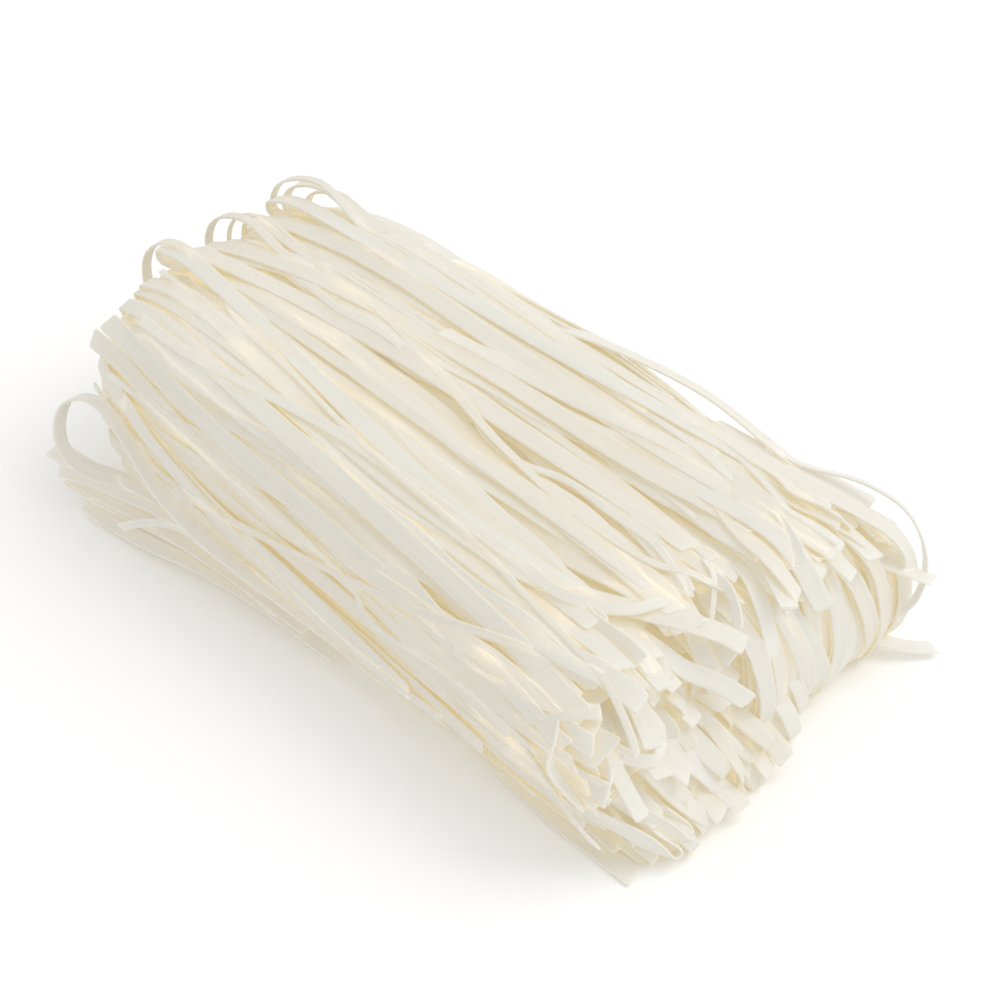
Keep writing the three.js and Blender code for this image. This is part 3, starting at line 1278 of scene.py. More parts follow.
@dataclass
class FoldedEndStrands(Family):
    """The strands that close the folded end.

    Args:
        tiers: the rows, from the inside out; their tops are places along the bundle, their
            tips heights on the form from 1 at its top to -1 at its underside.
        corner_inset: rows that lie further out than this stop short at the near corner.
        corner_at: where across the bundle that corner begins.
        corner_tip: where on the form those rows end there.
        foot_out: how much further out they lie at the foot than over the edge.
        foot_from: where the foot begins, as a share of the height down from the edge.
        widest: how wide one may be.
    """

    tiers: tuple[EndTier, ...]
    corner_inset: float = 11.0
    corner_at: float = -0.6
    corner_tip: Range = (-0.35, 0.1)
    foot_out: float = 7.0
    foot_from: float = 0.6
    widest: float = 6.6

    def route(self, tier: EndTier, lane: int) -> Route:
        """Leads one strand from its tip up the folded end and back over the top.

        Args:
            tier: its row.
            lane: its number in the row.

        Returns:
            Its route.
        """
        weaver, form = self.weaver, self.weaver.form
        b = spread(tier.first, tier.last, lane, tier.lanes)
        tip = weaver.draw(*tier.tip)
        if b < self.corner_at and tier.inset < self.corner_inset:
            tip = max(tip, weaver.draw(*self.corner_tip))
        down = (1 - tip) * form.folded_height / 2
        s = np.arange(-(form.folded_length + down), -weaver.draw(*tier.top), 2.6)
        skew = weaver.draw(-0.05, 0.05)
        across_at = b + skew * np.linspace(-1, 1, len(s)) + weaver.draw(-0.02, 0.02)
        points = form.over_top(across_at, s)
        outward = form.outward(points)
        below_edge = -s - form.folded_length
        foot = smoothstep(self.foot_from * form.folded_height, form.folded_height, below_edge)
        route = Route(points + outward * (self.foot_out * foot)[:, None], outward)
        return route.turned_under(weaver.draw(*tier.radius), leg=weaver.draw(5, 9), spacing=1.8)

    def build(self) -> None:
        """Lays every row, its strands in a random order."""
        weaver = self.weaver
        for tier in self.tiers:
            for lane in weaver.rng.permutation(tier.lanes):
                weaver.strand(
                    self.mesher, self.route(tier, int(lane)),
                    width=min(weaver.width(), self.widest), nominal=-tier.inset,
                    roll_degrees=float(weaver.rng.normal(0, 3)), reach=18,
                )


@dataclass
class SideStrands(Family):
    """The strands along one long side.

    Args:
        side: -1 near, 1 far.
        layers: how many strands lie in each layer, and their least height over the form.
        starts: how far they reach to the folded end, least and most.
        ends: how far they reach to the cut end.
        rows: how high up the side the lowest and the highest lie, from -1 to 1.
        low_starts_later: how much further in the lowest ones start.
        low_ends_sooner: how much further in the lowest ones end at the cut end.
        twisted: how many of them are twisted.
    """

    side: int
    layers: tuple[tuple[int, float], ...] = ((12, -5.4), (11, -4.4), (9, -3.4), (7, -2.4))
    starts: Range = (94.0, 103.0)
    ends: Range = (92.0, 108.0)
    rows: Range = (-0.9, 0.95)
    low_starts_later: float = 4.0
    low_ends_sooner: float = 10.0
    twisted: float = 0.15

    def route(self, lane: int, lanes: int) -> Route:
        """The way of one strand.

        Args:
            lane: its number up the side.
            lanes: how many lie in its layer.

        Returns:
            Its route.
        """
        weaver, form = self.weaver, self.weaver.form
        c = spread(*self.rows, lane, lanes) + weaver.draw(-0.05, 0.05)
        low = float(smoothstep(0.0, self.rows[0], c))
        start = -weaver.draw(*self.starts) + self.low_starts_later * low
        end = weaver.draw(*self.ends) - self.low_ends_sooner * low
        s = np.arange(start, end, weaver.bed.spacing)
        lean = weaver.draw(-0.3, 0.3)
        sway = Wobble(weaver.rng, 0.06, (170.0, 75.0, 40.0)).at(s)
        points = form.along_side(self.side, c + lean * s / form.cut_length + sway, s)
        return Route(points, form.outward(points))

    def build(self) -> None:
        """Lays every layer from the inside out."""
        weaver = self.weaver
        for lanes, nominal in self.layers:
            for lane in weaver.rng.permutation(lanes):
                route = self.route(int(lane), lanes)
                twisted = weaver.rng.uniform() < self.twisted
                weaver.strand(
                    self.mesher, route, nominal=nominal,
                    roll_degrees=float(weaver.rng.normal(0, 3)),
                    twist_degrees=weaver.draw(-45, 45) if twisted else 0.0, reach=8,
                )


@dataclass(frozen=True)
class TopLayer:
    """One layer of the strands over the top.

    Args:
        lanes: how many lie in it.
        nominal: their least height over the form.
        lean: how far their two ends lie apart across the bundle, as a share of half its width.
        leaves: where they leave the form at the cut end.
        beyond: how far they go on from there.
        droop: how fast they fall there.
        turns: where they turn under at the folded end.
        radius: the radius of that turn.
    """

    lanes: int
    nominal: float
    lean: float
    leaves: Range
    beyond: Range
    droop: Range
    turns: Range
    radius: Range


@dataclass
class TopStrands(Family):
    """The strands over the top, from the folded end to their cut ends.

    Args:
        layers: the layers, from the inside out.
        partings: where they lie apart.
        edge: how far across the outermost lie, from 0 to 1.
        over_edge: how far across one may wander; past 1 it is on its way down the side.
        cut_share: how many of them end in a cut at the folded end, and don't turn under.
        bent_share: how many of them are twisted at the cut end.
        twisted_share: how many of them are twisted, there or elsewhere.
    """

    layers: tuple[TopLayer, ...]
    partings: tuple[Parting, ...] = ()
    edge: float = 0.95
    over_edge: float = 1.25
    cut_share: float = 0.12
    bent_share: float = 0.3
    twisted_share: float = 0.45

    def route(self, layer: TopLayer, lane: int) -> Route:
        """Leads one strand from its turn at the folded end to its tip at the cut end.

        Args:
            layer: its layer.
            lane: its number in the layer.

        Returns:
            Its route.
        """
        weaver, form = self.weaver, self.weaver.form
        b = spread(-self.edge, self.edge, lane, layer.lanes) + weaver.draw(-0.03, 0.03)
        far = float(smoothstep(0.2, 0.5, b))
        s = np.arange(-(form.folded_length + 30), form.cut_length + 20, weaver.bed.spacing)
        lean = weaver.draw(-layer.lean, layer.lean)
        sway = Wobble(weaver.rng, 0.044, (170.0, 75.0, 36.0)).at(s)
        across_at = b + lean * s / form.cut_length + sway
        points = form.over_top(np.clip(across_at, -self.over_edge, self.over_edge), s)
        turns = weaver.draw(*layer.turns) - 8 * abs(b) ** 4
        points = points[np.argmax(points[:, 0] > -turns) :]
        points = points[points[:, 0] < weaver.draw(*layer.leaves) + 8 * far]
        for parting in self.partings:
            points = parting.part(points)
        outward = form.outward(points)
        beyond = max(4.0, weaver.draw(*layer.beyond) * (1 - 0.4 * far))
        past = np.arange(weaver.bed.spacing, beyond, weaver.bed.spacing)
        ahead = unit(points[-1] - points[-3])
        drop = np.array([0, 0, -weaver.draw(*layer.droop) * (1 + 0.3 * far)])
        swing = np.array([0, weaver.draw(-0.012, 0.012), 0])
        hanging = points[-1] + ahead * past[:, None] + (drop + swing) * (past**2)[:, None]
        side = unit(np.cross(outward[-1], ahead))
        points = np.vstack([points, hanging])
        faces = unit(np.cross(slopes(points)[-len(hanging) :], side))
        flat = Route(points, np.vstack([outward, faces]))
        if weaver.rng.uniform() < self.cut_share:
            return flat
        return flat.turned_under(weaver.draw(*layer.radius), leg=weaver.draw(5, 9), spacing=1.8)

    def build(self) -> None:
        """Lays every layer, its strands in a random order."""
        weaver = self.weaver
        for layer in self.layers:
            for lane in weaver.rng.permutation(layer.lanes):
                pick = weaver.rng.uniform()
                weaver.strand(
                    self.mesher, self.route(layer, int(lane)), nominal=layer.nominal,
                    roll_degrees=float(weaver.rng.normal(0, 2.5)),
                    twist_degrees=weaver.draw(-55, 55) if pick < self.twisted_share else 0.0,
                    twist_at=1.0 if pick < self.bent_share else None, reach=16,
                )


@dataclass(frozen=True)
class Loose:
    """A strand that leaves the body, by the few points it passes.

    Args:
        points: the points, in millimetres.
        lie: which way its width points.
        width: its width.
        rests: whether it rests on the heap.
        roll: its lean in degrees.
        twist: how far it turns on its way, in degrees.
        twist_at: where it does so, as a share of its length.
        tip: the radius of the turn under at its first point, or 0 for a cut end.
    """

    points: tuple[Point, ...]
    lie: Lie = Lie.BODY
    width: float = 4.8
    rests: bool = False
    roll: float = 0.0
    twist: float = 0.0
    twist_at: float = 0.5
    tip: float = 0.0

    def route(self, form: BundleForm, spacing: float) -> Route:
        """Leads the strand through its points.

        Args:
            form: the bundle's form.
            spacing: about the distance between two stations.

        Returns:
            Its route.
        """
        stations = evenly(through(self.points), spacing)
        along = slopes(stations)
        if self.lie is Lie.FLOOR:
            outward = np.broadcast_to(np.array([0.0, 0.0, 1.0]), stations.shape)
        elif self.lie is Lie.UPRIGHT:
            outward = np.cross(along, np.array([0.0, 1.0, 0.0]))
            outward = outward * np.sign(np.sum(outward * (stations - HEART)))
        else:
            outward = form.outward(stations)
        outward = outward - along * np.sum(outward * along, axis=1, keepdims=True)
        route = Route(stations, unit(outward))
        return route.turned_under(self.tip, leg=8.0, spacing=1.6) if self.tip else route


ARCHES = (
    Arch(27, 103, 36, 63.4, 20, 3, 2.6, 78),
    Arch(29, 99, 42, 59.5, 14, 3, 3.4, 40),
    Arch(33, 95, 42, 57.0, 12, 2, 3.0, 70),
    Arch(23, 98, 44, 58.5, 12, -2, 1.8, 60),
    Arch(5, 105, 34, 60.5, 16, 3, 3.0, 88),
    Arch(9, 101, 38, 59.0, 11, 4, 1.7, 72),
    Arch(12, 98, 42, 58.0, 9, 2, 1.9, 60),
    Arch(-14, 109, 30, 60.0, 16, 2, 3.4, 82),
)

LOOSE = (
    # The fan of ends at the near side's foot.
    Loose(((-88, -56, 4), (-74, -54, 4), (-55, -51, 4.5), (-30, -50, 4)), Lie.FLOOR, 4.6),
    Loose(((-94, -55, 7), (-80, -53, 6.5), (-62, -50, 6), (-40, -50, 6)), Lie.FLOOR, 4.8),
    Loose(((-101, -54, 10), (-88, -53, 10), (-72, -49, 11), (-50, -48, 12)), Lie.FLOOR, 4.6),
    Loose(((-99, -59, 14), (-91, -57, 13), (-82, -53, 12), (-72, -51, 13), (-58, -51, 15),
           (-42, -51, 17), (-20, -51, 14)), Lie.FLOOR, 4.8, roll=12, twist=-30, twist_at=0.9),
    Loose(((-95, -60, 10), (-84, -56, 10), (-72, -53, 10), (-58, -52, 12), (-42, -52, 12),
           (-20, -51, 10)), Lie.FLOOR, 4.4, roll=14),
    Loose(((-92, -59, 8), (-79, -56, 7), (-67, -54, 7), (-50, -53, 8), (-28, -52, 8),
           (-5, -51, 6)), Lie.FLOOR, 4.6, roll=10, tip=0.8),
    Loose(((-84, -58, 6), (-72, -55, 5), (-56, -53, 6), (-38, -52, 7), (-15, -52, 6)),
          Lie.FLOOR, 3.6, roll=16),
    Loose(((-85, -59, 3), (-74, -58, 2), (-61, -57, 3), (-44, -54, 4), (-20, -52, 5),
           (5, -51, 4)), Lie.FLOOR, 4.8, roll=8, tip=0.7),
    Loose(((-71, -59, 4), (-62, -55, 9), (-51, -53, 12), (-38, -53, 14), (-22, -53, 15),
           (0, -52, 12), (20, -51, 8)), Lie.BODY, 3.0),
    Loose(((-66, -49, 15), (-57, -51, 20), (-46, -52, 25), (-33, -52, 24), (-18, -52, 21),
           (0, -52, 18), (25, -50, 12)), Lie.BODY, 3.6),
    # The loop at the folded end's near corner: up from the fan, round and down the side.
    Loose((
        (-60, -47, 12), (-77, -53, 12), (-89, -58, 14), (-97, -57, 19), (-99, -53, 26),
        (-93, -51, 31.5), (-84, -51, 33.5), (-69, -53, 28), (-58, -55, 23), (-42, -56, 19),
        (-22, -55, 16), (0, -53, 13), (25, -51, 9),
    ), Lie.UPRIGHT, 4.2),
    # Blunt ends at the folded end's near shoulder.
    Loose(((-95, -43, 46), (-84, -44, 46.5), (-64, -46, 45), (-38, -47, 41), (0, -48, 36),
           (45, -50, 29), (70, -51, 26)), width=5.8, rests=True),
    Loose(((-93, -38, 48.5), (-82, -40, 49.5), (-61, -42.5, 49), (-30, -44, 46), (10, -45, 42),
           (50, -46, 37), (76, -47, 33)), width=5.8, rests=True),
    Loose(((-94, -32, 50), (-84, -33, 52.5), (-60, -36, 54), (-25, -39, 53), (15, -41, 49),
           (60, -43, 43), (84, -44, 39)), width=5.4, rests=True, tip=1.4),
    Loose(((-95, -26, 51.5), (-86, -27, 54.5), (-60, -29, 57), (-20, -31, 57), (30, -30, 53),
           (75, -31, 46)), width=5.6, rests=True, tip=1.8),
    # Blunt folds low at the near side's folded end.
    Loose(((-88, -47, 36), (-79, -48.5, 35.5), (-55, -50, 34), (-15, -51, 30), (30, -51, 25),
           (70, -52, 19)), width=5.4, rests=True, tip=1.8),
    Loose(((-88, -48.5, 28), (-79, -50, 27.5), (-55, -51, 26), (-20, -52, 22), (20, -52, 18),
           (60, -53, 13)), width=5.4, rests=True, tip=2.2),
    Loose(((-85, -49, 21), (-76, -50.5, 20.5), (-50, -51, 19), (-10, -52, 15), (30, -52, 12)),
          width=5.2, rests=True, tip=2.0),
    Loose(((-82, -48, 14), (-70, -50, 13.5), (-40, -51, 13), (-10, -51, 13), (20, -50, 12)),
          width=5.0, rests=True, tip=1.6),
    # Two broad strands that slant down over the near side.
    Loose(((-91, -44.5, 41.5), (-83, -47.5, 39.5), (-63, -50, 33.4), (-36, -52, 27),
           (2, -53, 21), (35, -53, 14)), width=6.2, rests=True, tip=1.6),
    Loose(((-76, -47, 38.5), (-66, -50, 35.5), (-45, -52, 28.5), (-15, -52, 20), (14, -51, 14),
           (45, -50, 12)), width=5.8, rests=True, tip=1.6),
    # Two strands along the far edge of the top.
    Loose(((-50, 33, 55), (-20, 37, 54), (8, 41.5, 51.5), (34, 41, 49)),
          width=5.4, rests=True),
    Loose(((-40, 36, 55), (-14, 40, 53.5), (10, 44.5, 51.3), (28, 43.5, 49.5), (44, 41, 48)),
          width=5.0, rests=True),
    # The strand that rises off the far edge, and its thin neighbour round the corner.
    Loose((
        (-60, 30, 58), (-12, 36, 55), (8, 41, 55.5), (38, 48, 52), (57, 49, 48), (74, 51, 41),
        (89, 54, 28),
    ), Lie.BODY, 4.6),
    Loose((
        (60, 48, 47), (70, 51, 45), (84, 57.5, 44), (96, 60.5, 40), (103.5, 59.5, 31),
        (105, 56, 20), (100, 52, 11),
    ), Lie.BODY, 2.3),
    # Loose ends at the far corner of the cut end.
    Loose(((60, 34, 39), (76, 39, 38), (92, 47, 33), (101, 53, 29), (108, 58, 26)), Lie.FLOOR),
    Loose(((46, 43, 49), (62, 47, 46), (76, 53, 42.5), (87, 58, 38.5)), Lie.FLOOR, 5.4),
    Loose(((54, 40, 48), (70, 45, 45), (84, 52, 40), (94, 58, 34.5)), Lie.FLOOR, 5.4),
    Loose(((60, 42, 47), (78, 47, 44.5), (91, 51, 41.5), (98, 54, 37.5), (101.5, 55.5, 32),
           (102.5, 55.5, 27)), Lie.FLOOR, 5.0),
    Loose(((88, 44, 9), (99, 50, 5), (105, 55, 3), (109.5, 60.7, 1.5)), Lie.FLOOR, 4.6),
    # The wide end that lies on the floor at the near corner.
    Loose(((30, -43, 4), (60, -47, 3), (80, -48.5, 1.2), (107, -49, 0.8)), Lie.FLOOR, 6.0),
    # Curled and bent ends that hang over the near corner of the cut end.
    Loose((
        (70, -50, 38), (82, -51, 40), (86, -55, 37), (87, -58, 32), (90, -56, 25), (95, -54, 19),
    ), Lie.BODY, 3.9, twist=60, twist_at=0.7),
    Loose((
        (70, -46, 40), (86, -48, 38), (93, -48, 34), (97, -49, 30), (99, -53, 25),
    ), Lie.BODY, 5.4, twist=35, twist_at=0.9),
    Loose(((84, -45, 33), (93, -45, 33), (98, -42, 30), (101, -37, 28), (99, -33, 30)),
          Lie.BODY, 4.2),
    Loose(((78, -47, 38), (92, -46, 34), (99, -46, 26), (105, -45, 17)), Lie.UPRIGHT, 4.6),
    Loose(((76, -36, 42), (90, -34, 37), (97, -32, 31), (99, -34, 24)), Lie.UPRIGHT, 4.8),
    # Two long strands that cross the top to the middle of the cut end.
    Loose(((-95, -24, 53), (-84, -24, 56), (-50, -28, 57), (-10, -33, 56), (20, -34, 54),
           (60, -30, 49), (84, -13, 41), (91, -7, 39), (96, -3, 36)),
          rests=True, width=5.6, tip=1.8),
    Loose(((-98, -15, 56), (-88, -15, 58), (-50, -20, 58), (-10, -26, 57), (30, -30, 53),
           (70, -26, 45), (88, -17, 34), (96, -11, 31), (102, -6, 26)),
          rests=True, width=5.0, tip=2.0),
    # Broad strands over the top, folded at the end in blunt noses.
    Loose(((-99, -9, 52), (-88, -9, 56), (-60, -6, 58), (-20, -2, 58), (30, 2, 54), (72, 6, 47)),
          width=5.8, rests=True, tip=2.0),
    Loose(((-97, -2, 52), (-86, -1, 56), (-50, 4, 58), (0, 10, 56), (50, 14, 50), (80, 19, 45)),
          width=5.4, rests=True, tip=2.2),
    Loose(((-96, 16, 52), (-86, 16, 56), (-50, 18, 58), (0, 19, 56), (60, 22, 49), (94, 27, 40)),
          width=5.4, rests=True, tip=2.0),
    Loose(((-95, 22, 52), (-84, 22, 56), (-50, 22, 57), (0, 26, 55), (40, 31, 51), (90, 39, 41)),
          width=5.2, rests=True, tip=2.0),
    Loose(((-40, 34, 55), (0, 34, 54), (40, 36, 50), (80, 38, 43), (100, 41, 36)),
          width=5.6, rests=True),
    Loose(((-20, 12, 57), (20, 18, 54), (60, 26, 48), (86, 30, 42), (100, 32, 36)),
          width=5.2, rests=True),
    # The end that slants down to the toe at the near corner.
    Loose(((62, -50, 28), (80, -54, 22), (93, -55, 14), (98, -53, 8)), Lie.BODY, 4.4, twist=30),
    # Fingers along the foot of the cut end, folded under at their tips.
    Loose(((109, -26, 5), (104, -31, 12), (96, -36, 22), (82, -40, 32)),
          Lie.UPRIGHT, 4.9, tip=2.5),
    Loose(((108, -17, 6), (103, -22, 14), (96, -27, 23), (82, -30, 33)),
          Lie.UPRIGHT, 5.0, tip=2.6),
    Loose(((110, -40, 3.5), (102, -47, 12), (92, -53, 18), (74, -52, 24)),
          Lie.BODY, 5.2, tip=1.4),
    Loose(((110, -36, 6), (104, -42, 14), (95, -49, 23), (80, -50, 30)), Lie.BODY, 4.8, tip=2.0),
    Loose(((105, 11, 4), (103, 9, 12), (97, 6, 21), (86, 3, 28)), Lie.UPRIGHT, 5.2, tip=2.0),
    Loose(((104, 6, 3), (101, 4, 11), (95, 1, 20), (82, -2, 28)), Lie.UPRIGHT, 4.6, tip=1.6),
    Loose(((101, 1, 4), (98, 0, 12), (92, -2, 21), (80, -5, 29)), Lie.UPRIGHT, 5.0, tip=2.2),
    Loose(((103, 16, 8), (102, 14, 16), (97, 11, 25), (86, 8, 32)), Lie.UPRIGHT, 4.4, tip=2.4),
    Loose(((107, -7, 4), (103, -10, 12), (96, -14, 21), (84, -18, 29)), Lie.UPRIGHT, 4.8, tip=2.0),
    # Thin split strands across the top and down the near side.
    Loose(((-82, -36, 53), (-60, -38, 55), (-10, -33, 56), (50, -31, 50), (63, -31, 49),
           (71, -28, 48), (77, -22, 47), (80, -13, 46)), width=3.4, rests=True),
    Loose(((-94, -20, 54), (-40, -26, 58), (0, -32, 56), (40, -34, 51), (73, -38, 46),
           (85, -39, 43), (92, -41, 41), (98, -43, 38), (101, -44, 35)), width=2.0, rests=True),
    Loose(((40, -47, 38), (70, -49, 33), (80, -50, 36), (85, -49, 39), (92, -45, 41)),
          width=2.3, rests=True),
    Loose(((-90, 10, 57), (-30, 4, 59), (20, -6, 55), (50, -8, 51), (72, -6, 49), (78, -2, 48),
           (82, 1, 45)), width=2.6, rests=True),
    Loose(((76, 6, 47), (81, 4, 47), (85, 0, 45), (88, -4, 40)), width=1.5),
    Loose(((78, 4, 45), (86, 3, 47), (91, 1, 45), (94, -1, 40)), width=2.8, twist=50),
    Loose(((-84, -45, 42), (-60, -46, 42), (-10, -48, 38), (15, -50, 35), (20, -51, 30),
           (28, -50, 27), (40, -50, 29), (60, -50, 29), (80, -52, 27)), width=2.2, rests=True),
    Loose(((-92, -46, 34), (-60, -51, 26), (-20, -51, 30), (20, -49, 38), (60, -44, 42),
           (84, -38, 42)), width=2.4, rests=True),
    # Ends that bend down over the top edge of the cut end.
    Loose(((70, 10, 46), (84, 12, 45), (93, 9, 40), (98, 7, 32), (99, 6, 26)), Lie.UPRIGHT, 4.8),
    Loose(((72, 18, 45), (86, 18, 43), (94, 17, 38), (98, 15, 31)), Lie.UPRIGHT, 4.4),
    Loose(((72, 28, 44), (88, 27, 42), (95, 26, 38), (99, 27, 33)), Lie.UPRIGHT, 4.6),
    Loose(((74, 0, 44), (86, 2, 41), (93, 4, 35), (96, 5, 27), (97, 5, 20)), Lie.UPRIGHT, 4.2),
)


@dataclass
class LooseStrands(Family):
    """Strands that are placed one by one, over the body or clear of it.

    Args:
        strands: the strands.
        arches: the open arches at the folded end.
        spacing: about the distance between two stations.
    """

    strands: tuple[Loose, ...]
    arches: tuple[Arch, ...] = ()
    spacing: float = 2.4

    def build(self) -> None:
        """Lays the arches and then the other strands."""
        weaver = self.weaver
        for arch in self.arches:
            weaver.strand(
                self.mesher, arch.route(weaver.form, self.spacing), width=arch.width, reach=10,
                cut_ends=(False, True),
            )
        for loose in self.strands:
            weaver.strand(
                self.mesher, loose.route(weaver.form, self.spacing), width=loose.width,
                rests=loose.rests, roll_degrees=loose.roll, twist_degrees=loose.twist,
                twist_at=loose.twist_at, reach=6, kept=loose.rests,
            )


# ---------------------------------------------------------------------------- finishes

# A colour mix's inputs and its result, by their numbers on the node.
MIX_SHARE, MIX_FIRST, MIX_SECOND, MIX_RESULT = 0, 6, 7, 2


@dataclass
class Nodes:
    """The nodes of a material or a world, added one after another.

    Args:
        tree: what they are added to; its own nodes are cleared.
    """

    tree: bpy.types.NodeTree

    def __post_init__(self) -> None:
        """Clears the tree's own nodes."""
        self.tree.nodes.clear()

    def add(self, kind: str, links: Optional[dict] = None, **settings: object) -> bpy.types.Node:
        """Adds a node.

        Args:
            kind: its Blender type.
            links: what feeds its inputs, by input name or number: a node, an output socket,
                or a plain number or colour.
            settings: its own properties.

        Returns:
            The node.
        """
        node = self.tree.nodes.new(kind)
        for name, value in settings.items():
            setattr(node, name, value)
        for name, source in (links or {}).items():
            if isinstance(source, bpy.types.Node):
                source = source.outputs[0]
            if isinstance(source, bpy.types.NodeSocket):
                self.tree.links.new(source, node.inputs[name])
            else:
                node.inputs[name].default_value = source
        return node

    def mixed(
        self, share: object, first: object, second: object, blend: str = "MIX",
    ) -> bpy.types.NodeSocket:
        """Mixes two colours.

        Args:
            share: how much of the second shows: a number or an output socket.
            first: the first colour: a hex colour or an output socket.
            second: the second colour, or a number that stands for a grey.
            blend: how the second is laid over the first.

        Returns:
            The mixed colour.
        """
        first, second = (srgb_to_linear(c) if isinstance(c, str) else c for c in (first, second))
        links = {MIX_SHARE: share, MIX_FIRST: first, MIX_SECOND: second}
        node = self.add("ShaderNodeMix", links, data_type="RGBA", blend_type=blend)
        return node.outputs[MIX_RESULT]

    def ranged(
        self, value: object, source: Range, target: Range = (0.0, 1.0), kind: str = "LINEAR",
    ) -> bpy.types.NodeSocket:
        """Maps one range of numbers to another.

        Args:
            value: what gives the number.
            source: the range that it comes in.
            target: the range that it goes to.
            kind: whether it goes there in a straight line or a soft step.

        Returns:
            The mapped number.
        """
        links = {"Value": value, "From Min": source[0], "From Max": source[1]}
        links |= {"To Min": target[0], "To Max": target[1]}
        return self.add("ShaderNodeMapRange", links, interpolation_type=kind).outputs[0]


def fresh_material(name: str) -> tuple[bpy.types.Material, Nodes]:
    """Starts a material, and hands back what adds its nodes."""
    material = bpy.data.materials.new(name)
    material.use_nodes = True
    return material, Nodes(material.node_tree)


@dataclass(frozen=True)
class NoodleFinish:
    """Dried rice noodle.

    Args:
        name: the material's name.
        ivory: the usual colour.
        cream: the colour of the yellower strands.
        tan: the painted warm shade of strands that lie deep under others.
        bleached: the whiter colour of cut ends.
        roughness: how matte it is.
        soft: how much of its light passes under its surface.
        soft_mm: how far that light goes.
        painted_glow_open: the painted glow of an open strand, for the light through it.
        painted_glow_buried: painted glow of a buried strand, for light through its neighbours.
        painted_glow_deepest: the dimmer painted glow where strands touch.
        reach_mm: how near those neighbours have to be.
    """

    name: str = "dried_rice_noodle"
    ivory: str = "#CAC8C1"
    cream: str = "#CBC6B9"
    tan: str = "#CAC0A9"
    bleached: str = "#D8D6D1"
    roughness: float = 0.5
    soft: float = 0.35
    soft_mm: float = 0.7
    painted_glow_open: str = "#726F67"
    painted_glow_buried: str = "#948D76"
    painted_glow_deepest: str = "#8A8064"
    reach_mm: float = 6.0

    def material(self) -> bpy.types.Material:
        """Makes it: matte ivory with fine lengthwise streaks, through which some light comes, with a
        painted warm shade on buried strands and a painted glow between the strands.

        Returns:
            The material.
        """
        material, nodes = fresh_material(self.name)
        tint, depth, cut = (
            nodes.add("ShaderNodeAttribute", attribute_name=name).outputs["Fac"]
            for name in ("tint", "depth", "cut")
        )
        # The streaks of pressed and dried rice paste, drawn out along each strand.
        place = nodes.add("ShaderNodeUVMap", uv_map="strand_mm")
        stretched = nodes.add("ShaderNodeMapping", {"Vector": place, "Scale": (3.0, 60.0, 1.0)})
        streaks = nodes.add(
            "ShaderNodeTexNoise", {"Vector": stretched, "Scale": 1.0, "Detail": 3.0},
        ).outputs["Fac"]
        # Some strands are creamier, buried ones take a painted warm shade, and cut ends are paler.
        shade = nodes.mixed(tint, self.ivory, self.cream)
        mottling = nodes.ranged(streaks, (0.3, 0.7), (0.96, 1.02))
        shaded = nodes.mixed(1.0, shade, mottling, "MULTIPLY")
        # Painted shade: the deeper a strand lies under others, the more of the tan it takes.
        with_painted_shade = nodes.mixed(nodes.ranged(depth, (0.2, 1.0), (0.0, 0.9)), shaded, self.tan)
        colour = nodes.mixed(nodes.ranged(cut, (0.0, 1.0), (0.0, 0.5)), with_painted_shade, self.bleached)
        bump = nodes.add(
            "ShaderNodeBump", {"Height": streaks, "Strength": 0.15, "Distance": 0.0002},
        )
        # A painted glow in the emission, for the light that a strand gets through its neighbours:
        # warm between them and dimmer where they touch, so that the heap looks filled with light,
        # not grey.
        openness = nodes.add(
            "ShaderNodeAmbientOcclusion", {"Distance": self.reach_mm * MM}, samples=8,
        ).outputs["AO"]
        buried = nodes.ranged(openness, (0.95, 0.15), kind="SMOOTHSTEP")
        glow_colour = nodes.mixed(buried, self.painted_glow_open, self.painted_glow_buried)
        deepest = nodes.ranged(openness, (0.45, 0.05), kind="SMOOTHSTEP")
        skin = nodes.add("ShaderNodeBsdfPrincipled", {
            "Base Color": colour, "Roughness": self.roughness, "Normal": bump,
            "Specular IOR Level": 0.35, "Subsurface Weight": self.soft,
            "Subsurface Radius": (1.0, 0.92, 0.8), "Subsurface Scale": self.soft_mm * MM,
            "Emission Color": nodes.mixed(deepest, glow_colour, self.painted_glow_deepest),
            "Emission Strength": 1.0,
        }, subsurface_method="BURLEY")
        nodes.add("ShaderNodeOutputMaterial", {"Surface": skin})
        material.cycles.emission_sampling = "NONE"
        return material


@dataclass(frozen=True)
class CoreFinish:
    """The crowded strands inside, in a painted warm shade with a painted glow.

    Args:
        light: the warm colour of the inner strands, in place of their shade; also their glow's
            colour.
        painted_gap_shade: the painted shade of the gaps between them.
        glow_strength: the strength of a painted glow, in place of light through them.
    """

    light: str = "#E8DFC6"
    painted_gap_shade: str = "#E0D3B0"
    glow_strength: float = 0.2

    def material(self) -> bpy.types.Material:
        """Makes it: warm lengthwise bands with painted shade between them and a painted glow, so
        that a deep gap shows strands instead of a flat black.

        Returns:
            The material.
        """
        material, nodes = fresh_material("inner_strands")
        place = nodes.add("ShaderNodeTexCoord").outputs["Object"]
        stretched = nodes.add(
            "ShaderNodeMapping", {"Vector": place, "Scale": (12.0, 260.0, 260.0)},
        )
        bands = nodes.add("ShaderNodeTexNoise", {"Vector": stretched, "Scale": 1.0, "Detail": 2.0})
        # Painted shade in the darker bands, and a painted glow from the emission.
        skin = nodes.add("ShaderNodeBsdfPrincipled", {
            "Base Color": nodes.mixed(bands.outputs["Fac"], self.painted_gap_shade, self.light),
            "Roughness": 0.8, "Specular IOR Level": 0.2,
            "Emission Color": srgb_to_linear(self.light), "Emission Strength": self.glow_strength,
        })
        nodes.add("ShaderNodeOutputMaterial", {"Surface": skin})
        material.cycles.emission_sampling = "NONE"
        return material


